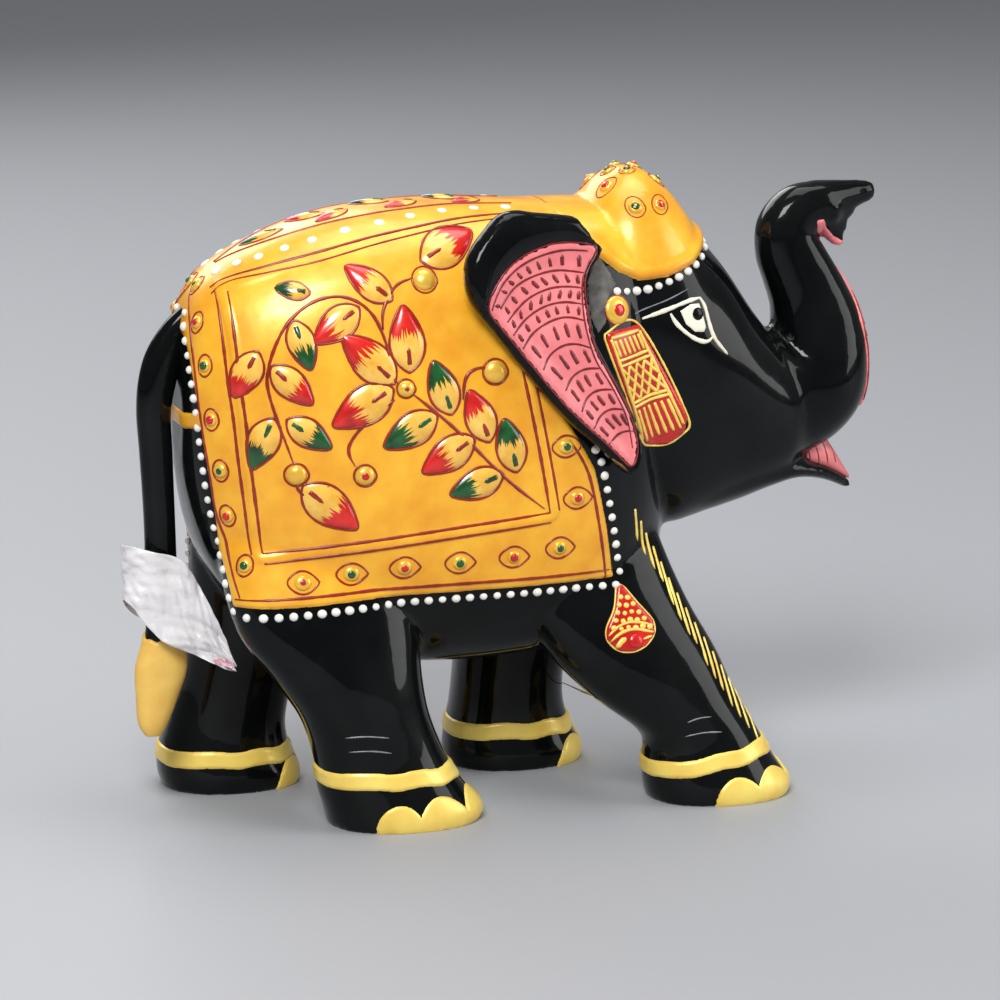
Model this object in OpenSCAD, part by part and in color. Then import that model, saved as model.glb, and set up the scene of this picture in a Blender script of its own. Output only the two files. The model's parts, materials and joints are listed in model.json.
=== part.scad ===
// Painted wooden elephant with a raised trunk, walking, about six inches tall.
// +X points to the trunk, +Y to the animal's left, +Z up; the feet stand on z = 0.
// The carving is one block of wood with two glued ears and a pegged tail. Everything
// else is a raised coat of paste or paint that follows the carved surface.

/* [Body] */
// Length of the torso from the rump to the chest
torso_length = 121; // [103:1:142]
// Width of the torso where it is widest
torso_width = 63; // [54:1:72]
// Height of the top of the back above the table
back_height = 145.5; // [131:0.5:159]
// Height of the belly above the table
belly_height = 34; // [28:0.5:40]

/* [Legs] */
// Distance between the left and right feet, middle to middle
track_width = 46; // [40:1:50]
// Length of a foot, heel to toe
foot_length = 37; // [32:0.5:42]
// Width of a foot
foot_width = 29; // [25:0.5:33]

/* [Head and trunk] */
// Height of the head from the jaw to the crown
head_height = 88; // [78:1:96]
// Width of the head at the cheeks
head_width = 47; // [41:0.5:53]
// Width of the trunk where it leaves the head
trunk_base_width = 26; // [22:0.5:30]
// Width of the trunk at its tip
trunk_tip_width = 11; // [9:0.5:14]

/* [Ears and tail] */
// Thickness of an ear
ear_thickness = 5; // [4:0.25:7]
// Width of the tail where it hangs free
tail_width = 8; // [6:0.25:10]
// Thickness of the tail
tail_thickness = 6.5; // [5:0.25:8]
// Diameter of the tail's peg
peg_diameter = 4; // [3:0.25:5]
// How far the tail's peg reaches into the rump
peg_length = 9; // [6:0.5:12]
// Radial clearance of the peg in its hole, filled with glue
peg_clearance = 0.1; // [0.05:0.01:0.2]

/* [Painted relief] */
// Thickness of the saddle cloth
cloth_thickness = 0.9; // [0.6:0.05:1.4]
// Thickness of a flat painted coat, such as an anklet
coat_thickness = 0.5; // [0.3:0.05:0.8]
// Height of the cloth's lower edge above the table
cloth_hem_height = 56; // [50:0.5:62]
// Width of the cloth's border
border_width = 12.5; // [10:0.5:15]
// Diameter of the white beads round the cloth
bead_diameter = 1.9; // [1.4:0.1:2.4]
// Spacing of the white beads
bead_pitch = 3.1; // [2.6:0.1:4]
// Diameter of a boss in the cloth's border
boss_diameter = 4.6; // [3.6:0.1:5.6]
// Spacing of the bosses
boss_pitch = 12.3; // [10:0.1:15]
// Height of an anklet band
anklet_height = 4; // [3:0.25:5]

/* [Hidden] */

RIGHT = -1;
LEFT = 1;
slice_t = 0.02;         // thickness of the discs that a loft is hulled from
ring_fn = 20;           // points round a leg or trunk section
torso_fn = 32;          // points round a torso or head section
far = 400;              // larger than the elephant, for cutting prisms

// Sizes of the shape as it was drawn; the driving dimensions stretch it from these.
drawn_length = 121;
drawn_width = 63;
drawn_back = 145.5;
drawn_belly = 34;
drawn_head = 88;
drawn_head_width = 47;
rump_x = -81.5;

k_len = torso_length / drawn_length;
k_head = head_height / drawn_head;
k_head_w = head_width / drawn_head_width;
chest_x = rump_x + torso_length;

// ---------- curves ----------
function mix3(a, b, c, d, t) =
    0.5 * (2 * b + (c - a) * t + (2 * a - 5 * b + 4 * c - d) * t * t + (3 * b - a - 3 * c + d) * t * t * t);
// The row of a table at a fractional index, on a smooth curve through all rows
function row_at(table, u) =
    let (n = len(table) - 1, i = max(0, min(floor(u), n - 1)))
    mix3(table[max(i - 1, 0)], table[i], table[i + 1], table[min(i + 2, n)], u - i);
function superellipse(a, b, n, count) = [
    for (i = [0 : count - 1])
        let (c = cos(360 * i / count), s = sin(360 * i / count))
        [a * sign(c) * pow(abs(c), 2 / n), b * sign(s) * pow(abs(s), 2 / n)]
];

// ---------- torso ----------
// Rows at even steps of the cosine spacing, rump to chest: [bottom, top, half width], drawn sizes
torso_rows = [
    [87, 113, 6], [64, 128, 17.5], [46, 137, 26], [37, 143.5, 30.2],
    [34, 145.5, 31.5], [34.5, 144.5, 31.5], [38, 144, 27.5], [49, 141, 16.5], [70, 126, 5]
];
torso_power = 2.7;
torso_steps = 18;
function torso_x(u) = rump_x + torso_length * (1 - cos(180 * u)) / 2;
function torso_u(x) = acos(max(-1, min(1, 1 - 2 * (x - rump_x) / torso_length))) / 180;
// Drawn places along the body stretch from the rump
function body_x(x) = rump_x + (x - rump_x) * k_len;
// Drawn heights stretch between the belly and the back
function body_z(z) = z < drawn_belly ? z * belly_height / drawn_belly :
    belly_height + (z - drawn_belly) * (back_height - belly_height) / (drawn_back - drawn_belly);
function torso_row(x) =
    let (r = row_at(torso_rows, torso_u(x) * (len(torso_rows) - 1)))
    [body_z(r[0]), body_z(r[1]), r[2] * torso_width / drawn_width];
function on_body(points) = [for (p = points) [body_x(p[0]), body_z(p[1])]];
// Half width of the torso at a place on its flank
function flank_y(x, z) =
    let (r = torso_row(x), half = (r[1] - r[0]) / 2, up = min(1, abs(z - (r[0] + r[1]) / 2) / half))
    r[2] * pow(1 - pow(up, torso_power), 1 / torso_power);

module torso_slice(x, grow) {
    r = torso_row(x);
    translate([x, 0, (r[0] + r[1]) / 2]) rotate([90, 0, 90]) linear_extrude(slice_t)
        polygon(superellipse(r[2] + grow, (r[1] - r[0]) / 2 + grow, torso_power, torso_fn));
}

module torso(grow) {
    for (i = [0 : torso_steps - 1]) hull() {
        torso_slice(torso_x(i / torso_steps) - (i == 0 ? grow : 0), grow);
        torso_slice(torso_x((i + 1) / torso_steps) + (i == torso_steps - 1 ? grow : 0), grow);
    }
}

// ---------- legs ----------
// Rows from the sole up: [height, middle x, middle y as a share of half the track, half length, half width],
// the last two as shares of the foot's
leg_rows = [
    // rear right, striding forward
    [[0, -33, 1, 0.98, 0.98], [3.5, -33, 1, 1.03, 1.02], [9, -36, 1, 0.95, 0.95], [16, -38.5, 0.99, 0.86, 0.88],
     [26, -42, 0.96, 0.84, 0.88], [36, -46, 0.9, 0.98, 0.92], [48, -50, 0.8, 1.2, 0.9], [66, -52, 0.6, 1.25, 0.86],
     [86, -52, 0.4, 1.1, 0.8]],
    // rear left, pushing back
    [[0, -64, 1, 0.9, 0.98], [3.5, -64.5, 1, 0.94, 1.02], [9, -65.5, 1, 0.88, 0.95], [16, -65, 0.99, 0.8, 0.88],
     [26, -62.5, 0.96, 0.78, 0.88], [36, -59.5, 0.9, 0.86, 0.92], [48, -56, 0.8, 1.0, 0.9], [66, -54, 0.6, 1.15, 0.86],
     [86, -52, 0.4, 1.1, 0.8]],
    // front right, reaching forward
    [[0, 47, 1, 0.93, 0.98], [3.5, 47, 1, 0.97, 1.02], [9, 45, 1, 0.88, 0.93], [16, 42.5, 0.98, 0.79, 0.86],
     [26, 33.5, 0.94, 0.97, 0.88], [36, 26.5, 0.86, 1.12, 0.92], [48, 19.5, 0.72, 1.16, 0.9], [62, 14.5, 0.52, 1.15, 0.84],
     [80, 10, 0.4, 1.1, 0.8]],
    // front left, trailing
    [[0, 9, 1, 0.9, 0.98], [3.5, 9, 1, 0.94, 1.02], [9, 8, 1, 0.86, 0.93], [16, 7.5, 0.98, 0.77, 0.86],
     [26, 8, 0.94, 0.76, 0.86], [36, 10, 0.86, 0.86, 0.9], [48, 13, 0.72, 1, 0.9], [62, 14, 0.52, 1.1, 0.84],
     [80, 10, 0.4, 1.1, 0.8]]
];
REAR_RIGHT = 0;
REAR_LEFT = 1;
FRONT_RIGHT = 2;
FRONT_LEFT = 3;
leg_sides = [RIGHT, LEFT, RIGHT, LEFT];
leg_power = 2.3;
leg_steps = 11;

// [height, middle x, middle y, half length, half width] at a share of the way up
function leg_row(leg, t) =
    let (rows = leg_rows[leg], r = row_at(rows, t * (len(rows) - 1)))
    [body_z(r[0]), body_x(r[1]), leg_sides[leg] * r[2] * track_width / 2,
     r[3] * foot_length / 2, r[4] * foot_width / 2];

module leg_slice(leg, t, grow) {
    r = leg_row(leg, t);
    translate([r[1], r[2], r[0]]) linear_extrude(slice_t)
        polygon(superellipse(r[3] + grow, r[4] + grow, leg_power, ring_fn));
}

module leg(i, grow) {
    for (s = [0 : leg_steps - 1]) hull() {
        leg_slice(i, s / leg_steps, grow);
        leg_slice(i, (s + 1) / leg_steps, grow);
    }
}

// ---------- head, jaw and trunk ----------
// Rows along x at even steps: [bottom, top, half width], drawn sizes
head_rows = [
    [80, 141, 19], [71, 149, 22.7], [65.5, 151.5, 23.5], [63.5, 146.5, 23.5],
    [65, 136.5, 22.4], [67.5, 127.5, 20.6], [70, 116.5, 18.3], [73, 107.5, 15.5], [78, 102, 11]
];
head_back_x = 17;
head_front_x = 77;
head_power = 2.25;
head_steps = 13;
head_base = 63.5;

// Places in the head grow from the jaw line where the chest ends
function head_x(x) = chest_x + (x - (rump_x + drawn_length)) * k_head;
function head_z(z) = back_height - drawn_back + head_base + (z - head_base) * k_head;
function head_row(t) = row_at(head_rows, t * (len(head_rows) - 1));

module head_slice(t, grow) {
    r = head_row(t);
    translate([head_back_x + (head_front_x - head_back_x) * t, 0, (r[0] + r[1]) / 2])
        rotate([90, 0, 90]) linear_extrude(slice_t)
            polygon(superellipse(r[2] * k_head_w / k_head + grow, (r[1] - r[0]) / 2 + grow, head_power, torso_fn));
}

module in_head_frame() {
    translate([head_x(0), 0, head_z(0)]) scale(k_head) children();
}

module head(grow) {
    in_head_frame() for (i = [0 : head_steps - 1]) hull() {
        head_slice(i / head_steps, grow);
        head_slice((i + 1) / head_steps, grow);
    }
}

// Rows along the trunk: [x, z, direction in degrees above +X, half depth, half width as a share of the base's]
trunk_rows = [
    [66, 95, 0, 16, 1.04], [74, 94.5, 18, 15.5, 1.02], [80.5, 98, 52, 13.2, 0.98], [81.4, 105, 84, 11.8, 0.88],
    [80.4, 112, 99, 11, 0.76], [78.4, 118.5, 107, 9.6, 0.66], [75.6, 124.5, 109, 8.8, 0.6], [73.2, 130, 102, 8.2, 0.56],
    [73, 135.4, 68, 7.4, 0.54], [76.8, 139.4, 28, 6.6, 0.52], [82.5, 141, 6, 5.2, 0.5]
];
trunk_power = 2.4;
trunk_steps = 20;
function trunk_half(share, t) =
    let (base = trunk_base_width / 2, tip = trunk_tip_width / 2)
    share * base + (tip - 0.5 * base) * t * t;

module trunk_slice(t, grow) {
    r = row_at(trunk_rows, t * (len(trunk_rows) - 1));
    translate([r[0], 0, r[1]]) rotate([0, -r[2], 0]) rotate([90, 0, 90]) linear_extrude(slice_t)
        polygon(superellipse(trunk_half(r[4], t) + grow, r[3] + grow, trunk_power, ring_fn));
}

module finger(from, to, from_r, to_r, half_y, grow) {
    hull() {
        translate([from[0], 0, from[1]]) scale([1, half_y / from_r, 1]) sphere(from_r + grow, $fn = ring_fn);
        translate([to[0], 0, to[1]]) scale([1, 0.62 * half_y / to_r, 1]) sphere(to_r + grow, $fn = 20);
    }
}

module bare_trunk(grow) {
    for (i = [0 : trunk_steps - 1]) hull() {
        trunk_slice(i / trunk_steps, grow);
        trunk_slice((i + 1) / trunk_steps, grow);
    }
}

module trunk(grow) {
    tip = trunk_tip_width / 2;
    in_head_frame() {
        bare_trunk(grow);
        finger([81, 141.2], [93, 143], 4.7, 2.1, tip, grow);
        finger([82, 138.5], [86.4, 131.4], 4.4, 1.6, tip, grow);
    }
}

// Rows along the jaw: [x, bottom, top, half width]
jaw_rows = [
    [34, 66, 90, 15], [46, 65.5, 88, 15.5], [57, 68, 85, 14], [66, 71, 82, 12.5], [74, 73, 79, 10.5],
    [82, 71.8, 76.2, 7.5], [89.5, 68.8, 71.2, 3]
];
jaw_steps = 8;

module jaw_slice(t, grow) {
    r = row_at(jaw_rows, t * (len(jaw_rows) - 1));
    translate([r[0], 0, (r[1] + r[2]) / 2]) rotate([90, 0, 90]) linear_extrude(slice_t)
        polygon(superellipse(r[3] + grow, (r[2] - r[1]) / 2 + grow, 2.2, ring_fn));
}

module jaw(grow) {
    in_head_frame() for (i = [0 : jaw_steps - 1]) hull() {
        jaw_slice(i / jaw_steps, grow);
        jaw_slice((i + 1) / jaw_steps, grow);
    }
}

// The whole block, grown outward to make the coats that lie on it
module carving(grow = 0) {
    torso(grow);
    for (i = [REAR_RIGHT : FRONT_LEFT]) leg(i, grow);
    head(grow);
    trunk(grow);
    jaw(grow);
}

// A coat between two distances from the carved surface, inside a given region
module layer(from, to) {
    difference() {
        intersection() {
            carving(to);
            children();
        }
        carving(from);
    }
}

module leg_layer(i, to) {
    difference() {
        intersection() {
            leg(i, to);
            children();
        }
        leg(i, 0);
    }
}

// A region seen from the side, cut straight through in y: both flanks, or one of them
module side_prism(points) {
    rotate([90, 0, 0]) linear_extrude(far, center = true) polygon(points);
}
flank_inner_y = 14;    // nothing nearer the middle than this belongs to a flank
module flank_prism(side, points) {
    translate([0, side * (far / 2 + flank_inner_y), 0]) rotate([90, 0, 0]) linear_extrude(far, center = true) polygon(points);
}

// ---------- places on the skin ----------
function superellipse_y(half_y, half_z, off, power) =
    half_y * pow(1 - pow(min(1, abs(off) / half_z), power), 1 / power);
// The share of the way up a leg where it passes a height
function leg_share(leg, z, low = 0, high = 1, tries = 12) =
    let (middle = (low + high) / 2)
    tries == 0 ? middle :
    leg_row(leg, middle)[0] > z ? leg_share(leg, z, low, middle, tries - 1) : leg_share(leg, z, middle, high, tries - 1);
function leg_y(leg, x, z) =
    let (r = leg_row(leg, leg_share(leg, z)), off = abs(x - r[1]) / r[3])
    off >= 1 || z > leg_row(leg, 1)[0] ? 0 : abs(r[2]) + r[4] * pow(1 - pow(off, leg_power), 1 / leg_power);
// Half width of the head at a place on its cheek
function cheek_y(x, z) =
    let (r = head_row((x / k_head + (rump_x + drawn_length) * (1 - 1 / k_head) - (chest_x - rump_x - drawn_length) / k_head
        - head_back_x) / (head_front_x - head_back_x)), low = head_z(r[0]), high = head_z(r[1]))
    x < head_x(head_back_x) ? 0 :
    r[2] * k_head_w * superellipse_y(1, (high - low) / 2, z - (low + high) / 2, head_power);
// Distance of the outer skin from the middle plane, on one side
function skin_y(side, x, z) = max(
    flank_y(x, z), cheek_y(x, z),
    leg_y(side == RIGHT ? REAR_RIGHT : REAR_LEFT, x, z),
    leg_y(side == RIGHT ? FRONT_RIGHT : FRONT_LEFT, x, z));
function back_z(x, y) =
    let (r = torso_row(x))
    (r[0] + r[1]) / 2 + (r[1] - r[0]) / 2 * pow(1 - pow(min(1, abs(y) / r[2]), torso_power), 1 / torso_power);

// Children are drawn round the origin with +Y out of the skin and +Z up along it
module on_skin(side, x, z, height = 0) {
    step = 0.6;
    slope_x = (skin_y(side, x + step, z) - skin_y(side, x - step, z)) / (2 * step);
    slope_z = (skin_y(side, x, z + step) - skin_y(side, x, z - step)) / (2 * step);
    turn = atan(max(-2.5, min(2.5, slope_x)));
    tip = -atan(max(-2.5, min(2.5, slope_z)) * cos(turn));
    translate([x, side * skin_y(side, x, z), z]) mirror([0, side == RIGHT ? 1 : 0, 0])
        rotate([tip, 0, turn]) translate([0, height, 0]) children();
}

// ---------- rows of beads ----------
function segment_length(path, i) = norm(path[i + 1] - path[i]);
function path_length(path, i = 0) = i > len(path) - 2 ? 0 : segment_length(path, i) + path_length(path, i + 1);
function path_point(path, s, i = 0) =
    i >= len(path) - 2 || s <= segment_length(path, i) ?
        path[i] + (path[i + 1] - path[i]) * s / segment_length(path, i) :
        path_point(path, s - segment_length(path, i), i + 1);
// Points at even steps near a wanted pitch, both ends included
function stepped(path, pitch) =
    let (total = path_length(path), n = max(1, round(total / pitch)))
    [for (i = [0 : n]) path_point(path, total * i / n)];

module bead(side, p, diameter, height = 0) {
    on_skin(side, p[0], p[1], height) translate([0, 0.15 * diameter, 0]) sphere(d = diameter, $fn = 36);
}
module boss(side, p, diameter, height = 0) {
    on_skin(side, p[0], p[1], height) scale([1, 0.45, 1]) sphere(d = diameter, $fn = 36);
}

// ---------- carved wood ----------
peg_z = 112;
module peg_axis() {
    translate([rump_x + peg_length, 0, body_z(peg_z)]) rotate([0, -90, 0]) children();
}

module carved_body() {
    color("#0c0c0e") difference() {
        carving();
        translate([0, 0, -far / 2]) cube(far, center = true);
        peg_axis() translate([0, 0, -peg_clearance]) cylinder(h = far / 10, d = peg_diameter + 2 * peg_clearance, $fn = 36);
    }
}

// Drawn outlines of the right ear, seen from its own side: [x, z]
ear_outline = [
    [14.8, 137.4], [12.4, 140.6], [10.6, 142.8], [5, 143.9], [-0.7, 144.7], [-4.4, 145.4], [-7.6, 145], [-10.4, 143.6],
    [-13.8, 140.4], [-16.6, 137.2], [-18.3, 134], [-18.8, 130], [-18.2, 126.2], [-16.4, 122.6], [-12, 117], [-4.8, 107.6],
    [2.5, 98.6], [8, 92.8], [14, 87.4], [20.2, 81.4], [22.8, 81.2], [24.3, 84.6], [24.3, 89.6], [22.8, 95.2], [20.5, 100.6],
    [17.5, 106.2], [14.8, 111], [13.6, 115.6], [13.1, 120.2], [12.8, 125.6], [13.7, 129], [16.6, 133.6], [17, 135.4]
];
ear_lining_outline = [
    [13.1, 136.2], [15.6, 135], [12.1, 129.6], [11.3, 125.8], [11.7, 120.2], [12.2, 115.4], [13.5, 110.6], [16.3, 105.4],
    [19.2, 100], [21.5, 94.6], [22.8, 89.2], [22.6, 85.2], [21.6, 82.6], [20.2, 82.9], [14.9, 88.3], [8.9, 93.8],
    [3.4, 99.6], [-3.8, 108.5], [-11, 117.8], [-14.6, 122.6], [-13.6, 125.6], [-10.6, 129.9], [-7.3, 132.9], [-2.9, 135.2], [2.5, 136.8],
    [7.8, 137]
];
ear_root_x = 9;
ear_pivot = [15, 130];    // drawn place in the outlines that lies at the seat
ear_seat = [12.8, -25.6, 131.6];
ear_lean = [-8, 0, 9.5];
// The left ear is set a little lower than the right one, and turned
left_ear_drop = 6.5;
left_ear_turn = 3;

// The right ear's flat frame: drawn x and z, with +Z out of the ear
module in_ear_frame(side) {
    seat_z = head_z(ear_seat[2]) - (side == LEFT ? left_ear_drop : 0);
    mirror([0, side == LEFT ? 1 : 0, 0])
        translate([head_x(ear_seat[0]), ear_seat[1] - (torso_width - drawn_width) / 2, seat_z])
            rotate(ear_lean) rotate([90, 0, 0]) rotate([0, 0, side == LEFT ? left_ear_turn : 0])
                scale([k_head, k_head, 1]) translate([-ear_pivot[0], -ear_pivot[1], 0]) children();
}

module ear(side) {
    color("#0c0c0e") difference() {
        in_ear_frame(side) {
            linear_extrude(ear_thickness) polygon(ear_outline);
            translate([0, 0, ear_thickness]) linear_extrude(1.2) difference() {
                polygon(ear_outline);
                polygon(ear_lining_outline);
            }
            // root that is glued to the neck
            translate([0, 0, -14]) linear_extrude(14.5) intersection() {
                polygon(ear_lining_outline);
                translate([ear_root_x + 20, 112]) square([40, 56], center = true);
            }
        }
        carving();
    }
}

module ear_lining(side) {
    color("#ff9a96") in_ear_frame(side) translate([0, 0, ear_thickness])
        linear_extrude(coat_thickness) polygon(ear_lining_outline);
}

// Rows down the tail from its tip: [z, x, half width, half thickness]
tail_rows = [
    [19.5, -88.6, 1.7, 1.4], [22.5, -88.5, 3.3, 2.4], [29, -87.4, 4.8, 2.9], [35.5, -86.4, 5.9, 3.2], [42, -85.8, 4.8, 3.2],
    [48, -85.8, 4, 3.2],
    [56, -86, 3.9, 3.2], [72, -86.3, 3.8, 3.25], [88, -86.9, 4, 3.25], [98, -87.3, 4.2, 3.3], [106, -86.2, 4.7, 3.2],
    [113, -84, 4.8, 3], [119.5, -81, 3.4, 2.6]
];
drawn_tail_width = 8;
drawn_tail_thickness = 6.5;
tail_steps = 15;
tuft_top = 43;
function tail_row(t) =
    let (r = row_at(tail_rows, t * (len(tail_rows) - 1)))
    [body_z(r[0]), r[1], r[2] * tail_width / drawn_tail_width, r[3] * tail_thickness / drawn_tail_thickness];

module tail_slice(t, grow) {
    r = tail_row(t);
    translate([r[1], 0, r[0]]) scale([1, (r[3] + grow) / (r[2] + grow), 1])
        cylinder(h = slice_t, r = r[2] + grow, $fn = 14);
}
module tail_loft(grow) {
    for (i = [0 : tail_steps - 1]) hull() {
        tail_slice(i / tail_steps, grow);
        tail_slice((i + 1) / tail_steps, grow);
    }
}

module tail() {
    color("#0c0c0e") {
        difference() {
            tail_loft(0);
            torso(0);
        }
        peg_axis() cylinder(h = peg_length + 2, d = peg_diameter, $fn = 36);
    }
}

module tail_tuft() {
    color("#e0b050") difference() {
        intersection() {
            tail_loft(coat_thickness);
            translate([-90, 0, body_z(tuft_top) / 2]) cube([60, 60, body_z(tuft_top)], center = true);
        }
        tail_loft(0);
    }
}

// Places beside the tail keep their distance behind the rump
function hung(points) = [for (p = points) [p[0], body_z(p[1])]];

// The film is loose on the tail, so its hollow is straight. It runs past both of the film's edges.
film_gap = 0.1;       // from the tail and the rump
film_rows = [4, 7];   // of tail_rows, below and above the film
module film_hollow() {
    hull() for (row = film_rows)
        tail_slice(row / (len(tail_rows) - 1), film_gap);
}

// A scrap of film folded round the tail, with a loose flap
module tail_wrapper() {
    color("#f4eef0") difference() {
        union() {
            rotate([90, 0, 0]) linear_extrude(10.4, center = true)
                polygon(hung([[-95.2, 67.6], [-88, 66.4], [-80.2, 61.8], [-79.6, 49], [-86.6, 43.4], [-90, 46], [-95.25, 54]]));
            translate([0, -5.2, 0]) rotate([90, 0, 0]) linear_extrude(0.8)
                polygon(hung([[-88, 64], [-79.4, 61.2], [-78, 56], [-69.4, 36], [-70.2, 34.4], [-86, 43.2]]));
        }
        film_hollow();
        torso(film_gap);
    }
}

// ---------- cloth ----------
// Its edges, in drawn places seen from the side
rear_edge = on_body([[-81, 150], [-79.5, 124], [-78.5, 109], [-76.4, 91.5], [-74, 74]]);
hem_rear = [body_x(-72.5), cloth_hem_height - 1.5];
hem_front = [body_x(19.3), cloth_hem_height + 0.5];
front_edge = on_body([[13.2, 84], [5.6, 97], [4, 108], [5, 126], [8, 150]]);

module saddle_cloth() {
    color("#ecb445") layer(0, cloth_thickness) difference() {
        side_prism(concat(rear_edge, [hem_rear, hem_front], front_edge));
        // the cloth stops at the flanks and leaves the underside bare
        translate([body_x(-72), 0, cloth_hem_height]) cube([30, 0.45 * torso_width, 26], center = true);
    }
}

runner_half = [[-79, 6.5], [-72, 9.5], [-55, 15], [-37, 17.5], [-18, 16], [-4.5, 12], [6, 10]];
runner_thickness = 0.4;
module back_runner() {
    color("#f2c15c") layer(cloth_thickness, cloth_thickness + runner_thickness)
        translate([0, 0, (back_height + belly_height) / 2]) linear_extrude(far)
            polygon(concat(
                [for (p = runner_half) [body_x(p[0]), p[1]]],
                [for (i = [len(runner_half) - 1 : -1 : 0]) [body_x(runner_half[i][0]), -runner_half[i][1]]]));
}

runner_dot_path = [[-67, 6.8], [-57, 10.6], [-46, 12.8], [-34, 13.2], [-20, 10.8], [-8, 8.6]];
module runner_dots() {
    color("#f4f0e6") for (side = [RIGHT, LEFT], p = stepped(runner_dot_path, 2.3 * bead_pitch))
        translate([body_x(p[0]), side * p[1], back_z(body_x(p[0]), p[1]) + cloth_thickness + 0.3])
            sphere(d = bead_diameter, $fn = 36);
}

bead_gap = 1.9;    // from a cloth edge to the middle of the beads beside it
module cloth_beads() {
    color("#f4f0e6") for (side = [RIGHT, LEFT]) {
        for (p = stepped(concat(on_body([[-80.6, 121], [-79.8, 108], [-78, 91.5], [-75.8, 74]]), [hem_rear + [-1.6, -bead_gap]]),
                bead_pitch))
            bead(side, p, bead_diameter);
        for (p = stepped([hem_rear + [1.5, -bead_gap], hem_front + [0.6, -bead_gap]], bead_pitch))
            bead(side, p, bead_diameter);
        for (p = stepped(concat([hem_front + [bead_gap, 1]], on_body([[15.2, 84.5], [13.4, 88.5]])), bead_pitch))
            bead(side, p, bead_diameter);
    }
}

module border_bosses() {
    middle = border_width / 2;
    rear = [
        rear_edge[1] + [0.4 * middle, -3], rear_edge[3] + [0.5 * middle, 4], hem_rear + [0.45 * middle, middle + 4]
    ];
    hem = [hem_rear + [13.5, middle + 1.5], hem_front + [-2.5 * middle, middle + 2.1]];
    front = [for (p = on_body([[14.4, 77.5], [11.5, 90]])) p - [middle, 0]];
    color("#ffd24a") for (side = [RIGHT, LEFT]) {
        for (p = concat(stepped(rear, boss_pitch), stepped(hem, boss_pitch), front))
            boss(side, p, boss_diameter, cloth_thickness);
        for (p = on_body([[-79.7, 91], [-80.4, 86.6]])) boss(side, p, 0.7 * boss_diameter);
    }
}

// Leaves on the flank: [tip x, tip z, base x, base z]
flank_leaves = [
    [-62.8, 130, -54.9, 129], [-46.4, 135, -36, 127], [-13.5, 141.3, -27.9, 135.2], [-55.4, 117.5, -44.1, 125.7],
    [-56, 111, -59.3, 122.9], [-48.8, 119.7, -36.5, 108], [-33.7, 126.3, -32.9, 110.2], [-27.4, 113.2, -22.9, 99.8],
    [-73.4, 104.5, -67.7, 115.8], [-55.6, 103.2, -64.9, 112.4], [-51.8, 97.9, -37.1, 106.9], [-69.9, 87.6, -64.9, 100.3],
    [-51.4, 92.7, -61.9, 99.9], [-39.9, 92.5, -26.6, 100], [-30.6, 86, -17.6, 94], [-18.9, 105.8, -13.7, 92.8],
    [-10.4, 98.6, -7, 85.1], [-23.9, 80.3, -10.5, 84.9], [-45.3, 73.1, -58.5, 84.1]
];
// Leaves along the back: [middle x, middle y, length, turn]
back_leaves = [[-61, 0, 12, 20], [-50, 5, 12, -30], [-43, -5, 12, 35], [-31, 3, 12, -25], [-22, -4, 12, 30], [-10, 2, 11, -20]];
leaf_share = 0.54;   // width of a leaf as a share of its length

module cloth_leaves() {
    color("#d4351c") for (side = [RIGHT, LEFT]) {
        for (leaf = flank_leaves) {
            ends = on_body([[leaf[0], leaf[1]], [leaf[2], leaf[3]]]);
            along = ends[0] - ends[1];
            size = norm(along);
            middle = (ends[0] + ends[1]) / 2;
            on_skin(side, middle[0], middle[1], cloth_thickness)
                rotate([0, -atan2(along[1], along[0]), 0])
                    scale([size / 2, 0.9, leaf_share * size / 2]) sphere(1, $fn = 36);
        }
    }
    color("#d4351c") for (leaf = back_leaves)
        translate([body_x(leaf[0]), leaf[1], back_z(body_x(leaf[0]), leaf[1]) + cloth_thickness])
            rotate([0, leaf[0] < -45 ? -16 : -4, 0]) rotate([0, 0, leaf[3]])
                scale([leaf[2] / 2, leaf_share * leaf[2] / 2, 0.9]) sphere(1, $fn = 36);
}

module vine_buds() {
    color("#ffd24a") for (side = [RIGHT, LEFT], p = on_body([[-27.8, 131], [-34, 106.5], [-12.2, 109.4], [-59.9, 86.8], [-44, 86.2]]))
        boss(side, p, boss_diameter * 1.15, cloth_thickness);
}

// ---------- head ----------
function on_head(points) = [for (p = points) [head_x(p[0]), head_z(p[1])]];

module head_cap() {
    color("#e8b448") layer(0, cloth_thickness)
        side_prism(on_head([[12, 160], [13.5, 141.2], [16, 134.6], [21.7, 130.2], [27, 127.8], [34, 128.2], [41.6, 130.6],
            [46.5, 133.8], [51, 138], [51, 160]]));
}

module cap_bosses() {
    color("#ffd24a") for (side = [RIGHT, LEFT], p = on_head([[28.2, 144.5], [35.2, 143.4], [21.6, 144], [31.4, 149.2], [24.5, 148.2]]))
        boss(side, p, 0.85 * boss_diameter, cloth_thickness);
}

module cap_beads() {
    color("#f4f0e6") for (side = [RIGHT, LEFT], p = stepped(on_head([[20.5, 125.9], [27.6, 125.2], [34.6, 126.8], [40.2, 128.9],
        [44.3, 130.8], [47.5, 131.6]]), 0.9 * bead_pitch))
            bead(side, p, bead_diameter);
}

module cheek_rosettes() {
    color("#ffd24a") for (side = [RIGHT, LEFT], p = on_head([[21, 121.4]]))
        boss(side, p, 1.4 * boss_diameter);
}

module cheek_pendant(side) {
    color("#c8321e") layer(0, 0.8 * cloth_thickness)
        flank_prism(side, on_head([[18.6, 116.6], [26.6, 117.4], [39.2, 94], [38.4, 90], [34.4, 87.2], [29.6, 87.4], [26.9, 89.6],
            [19, 112]]));
}

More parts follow.
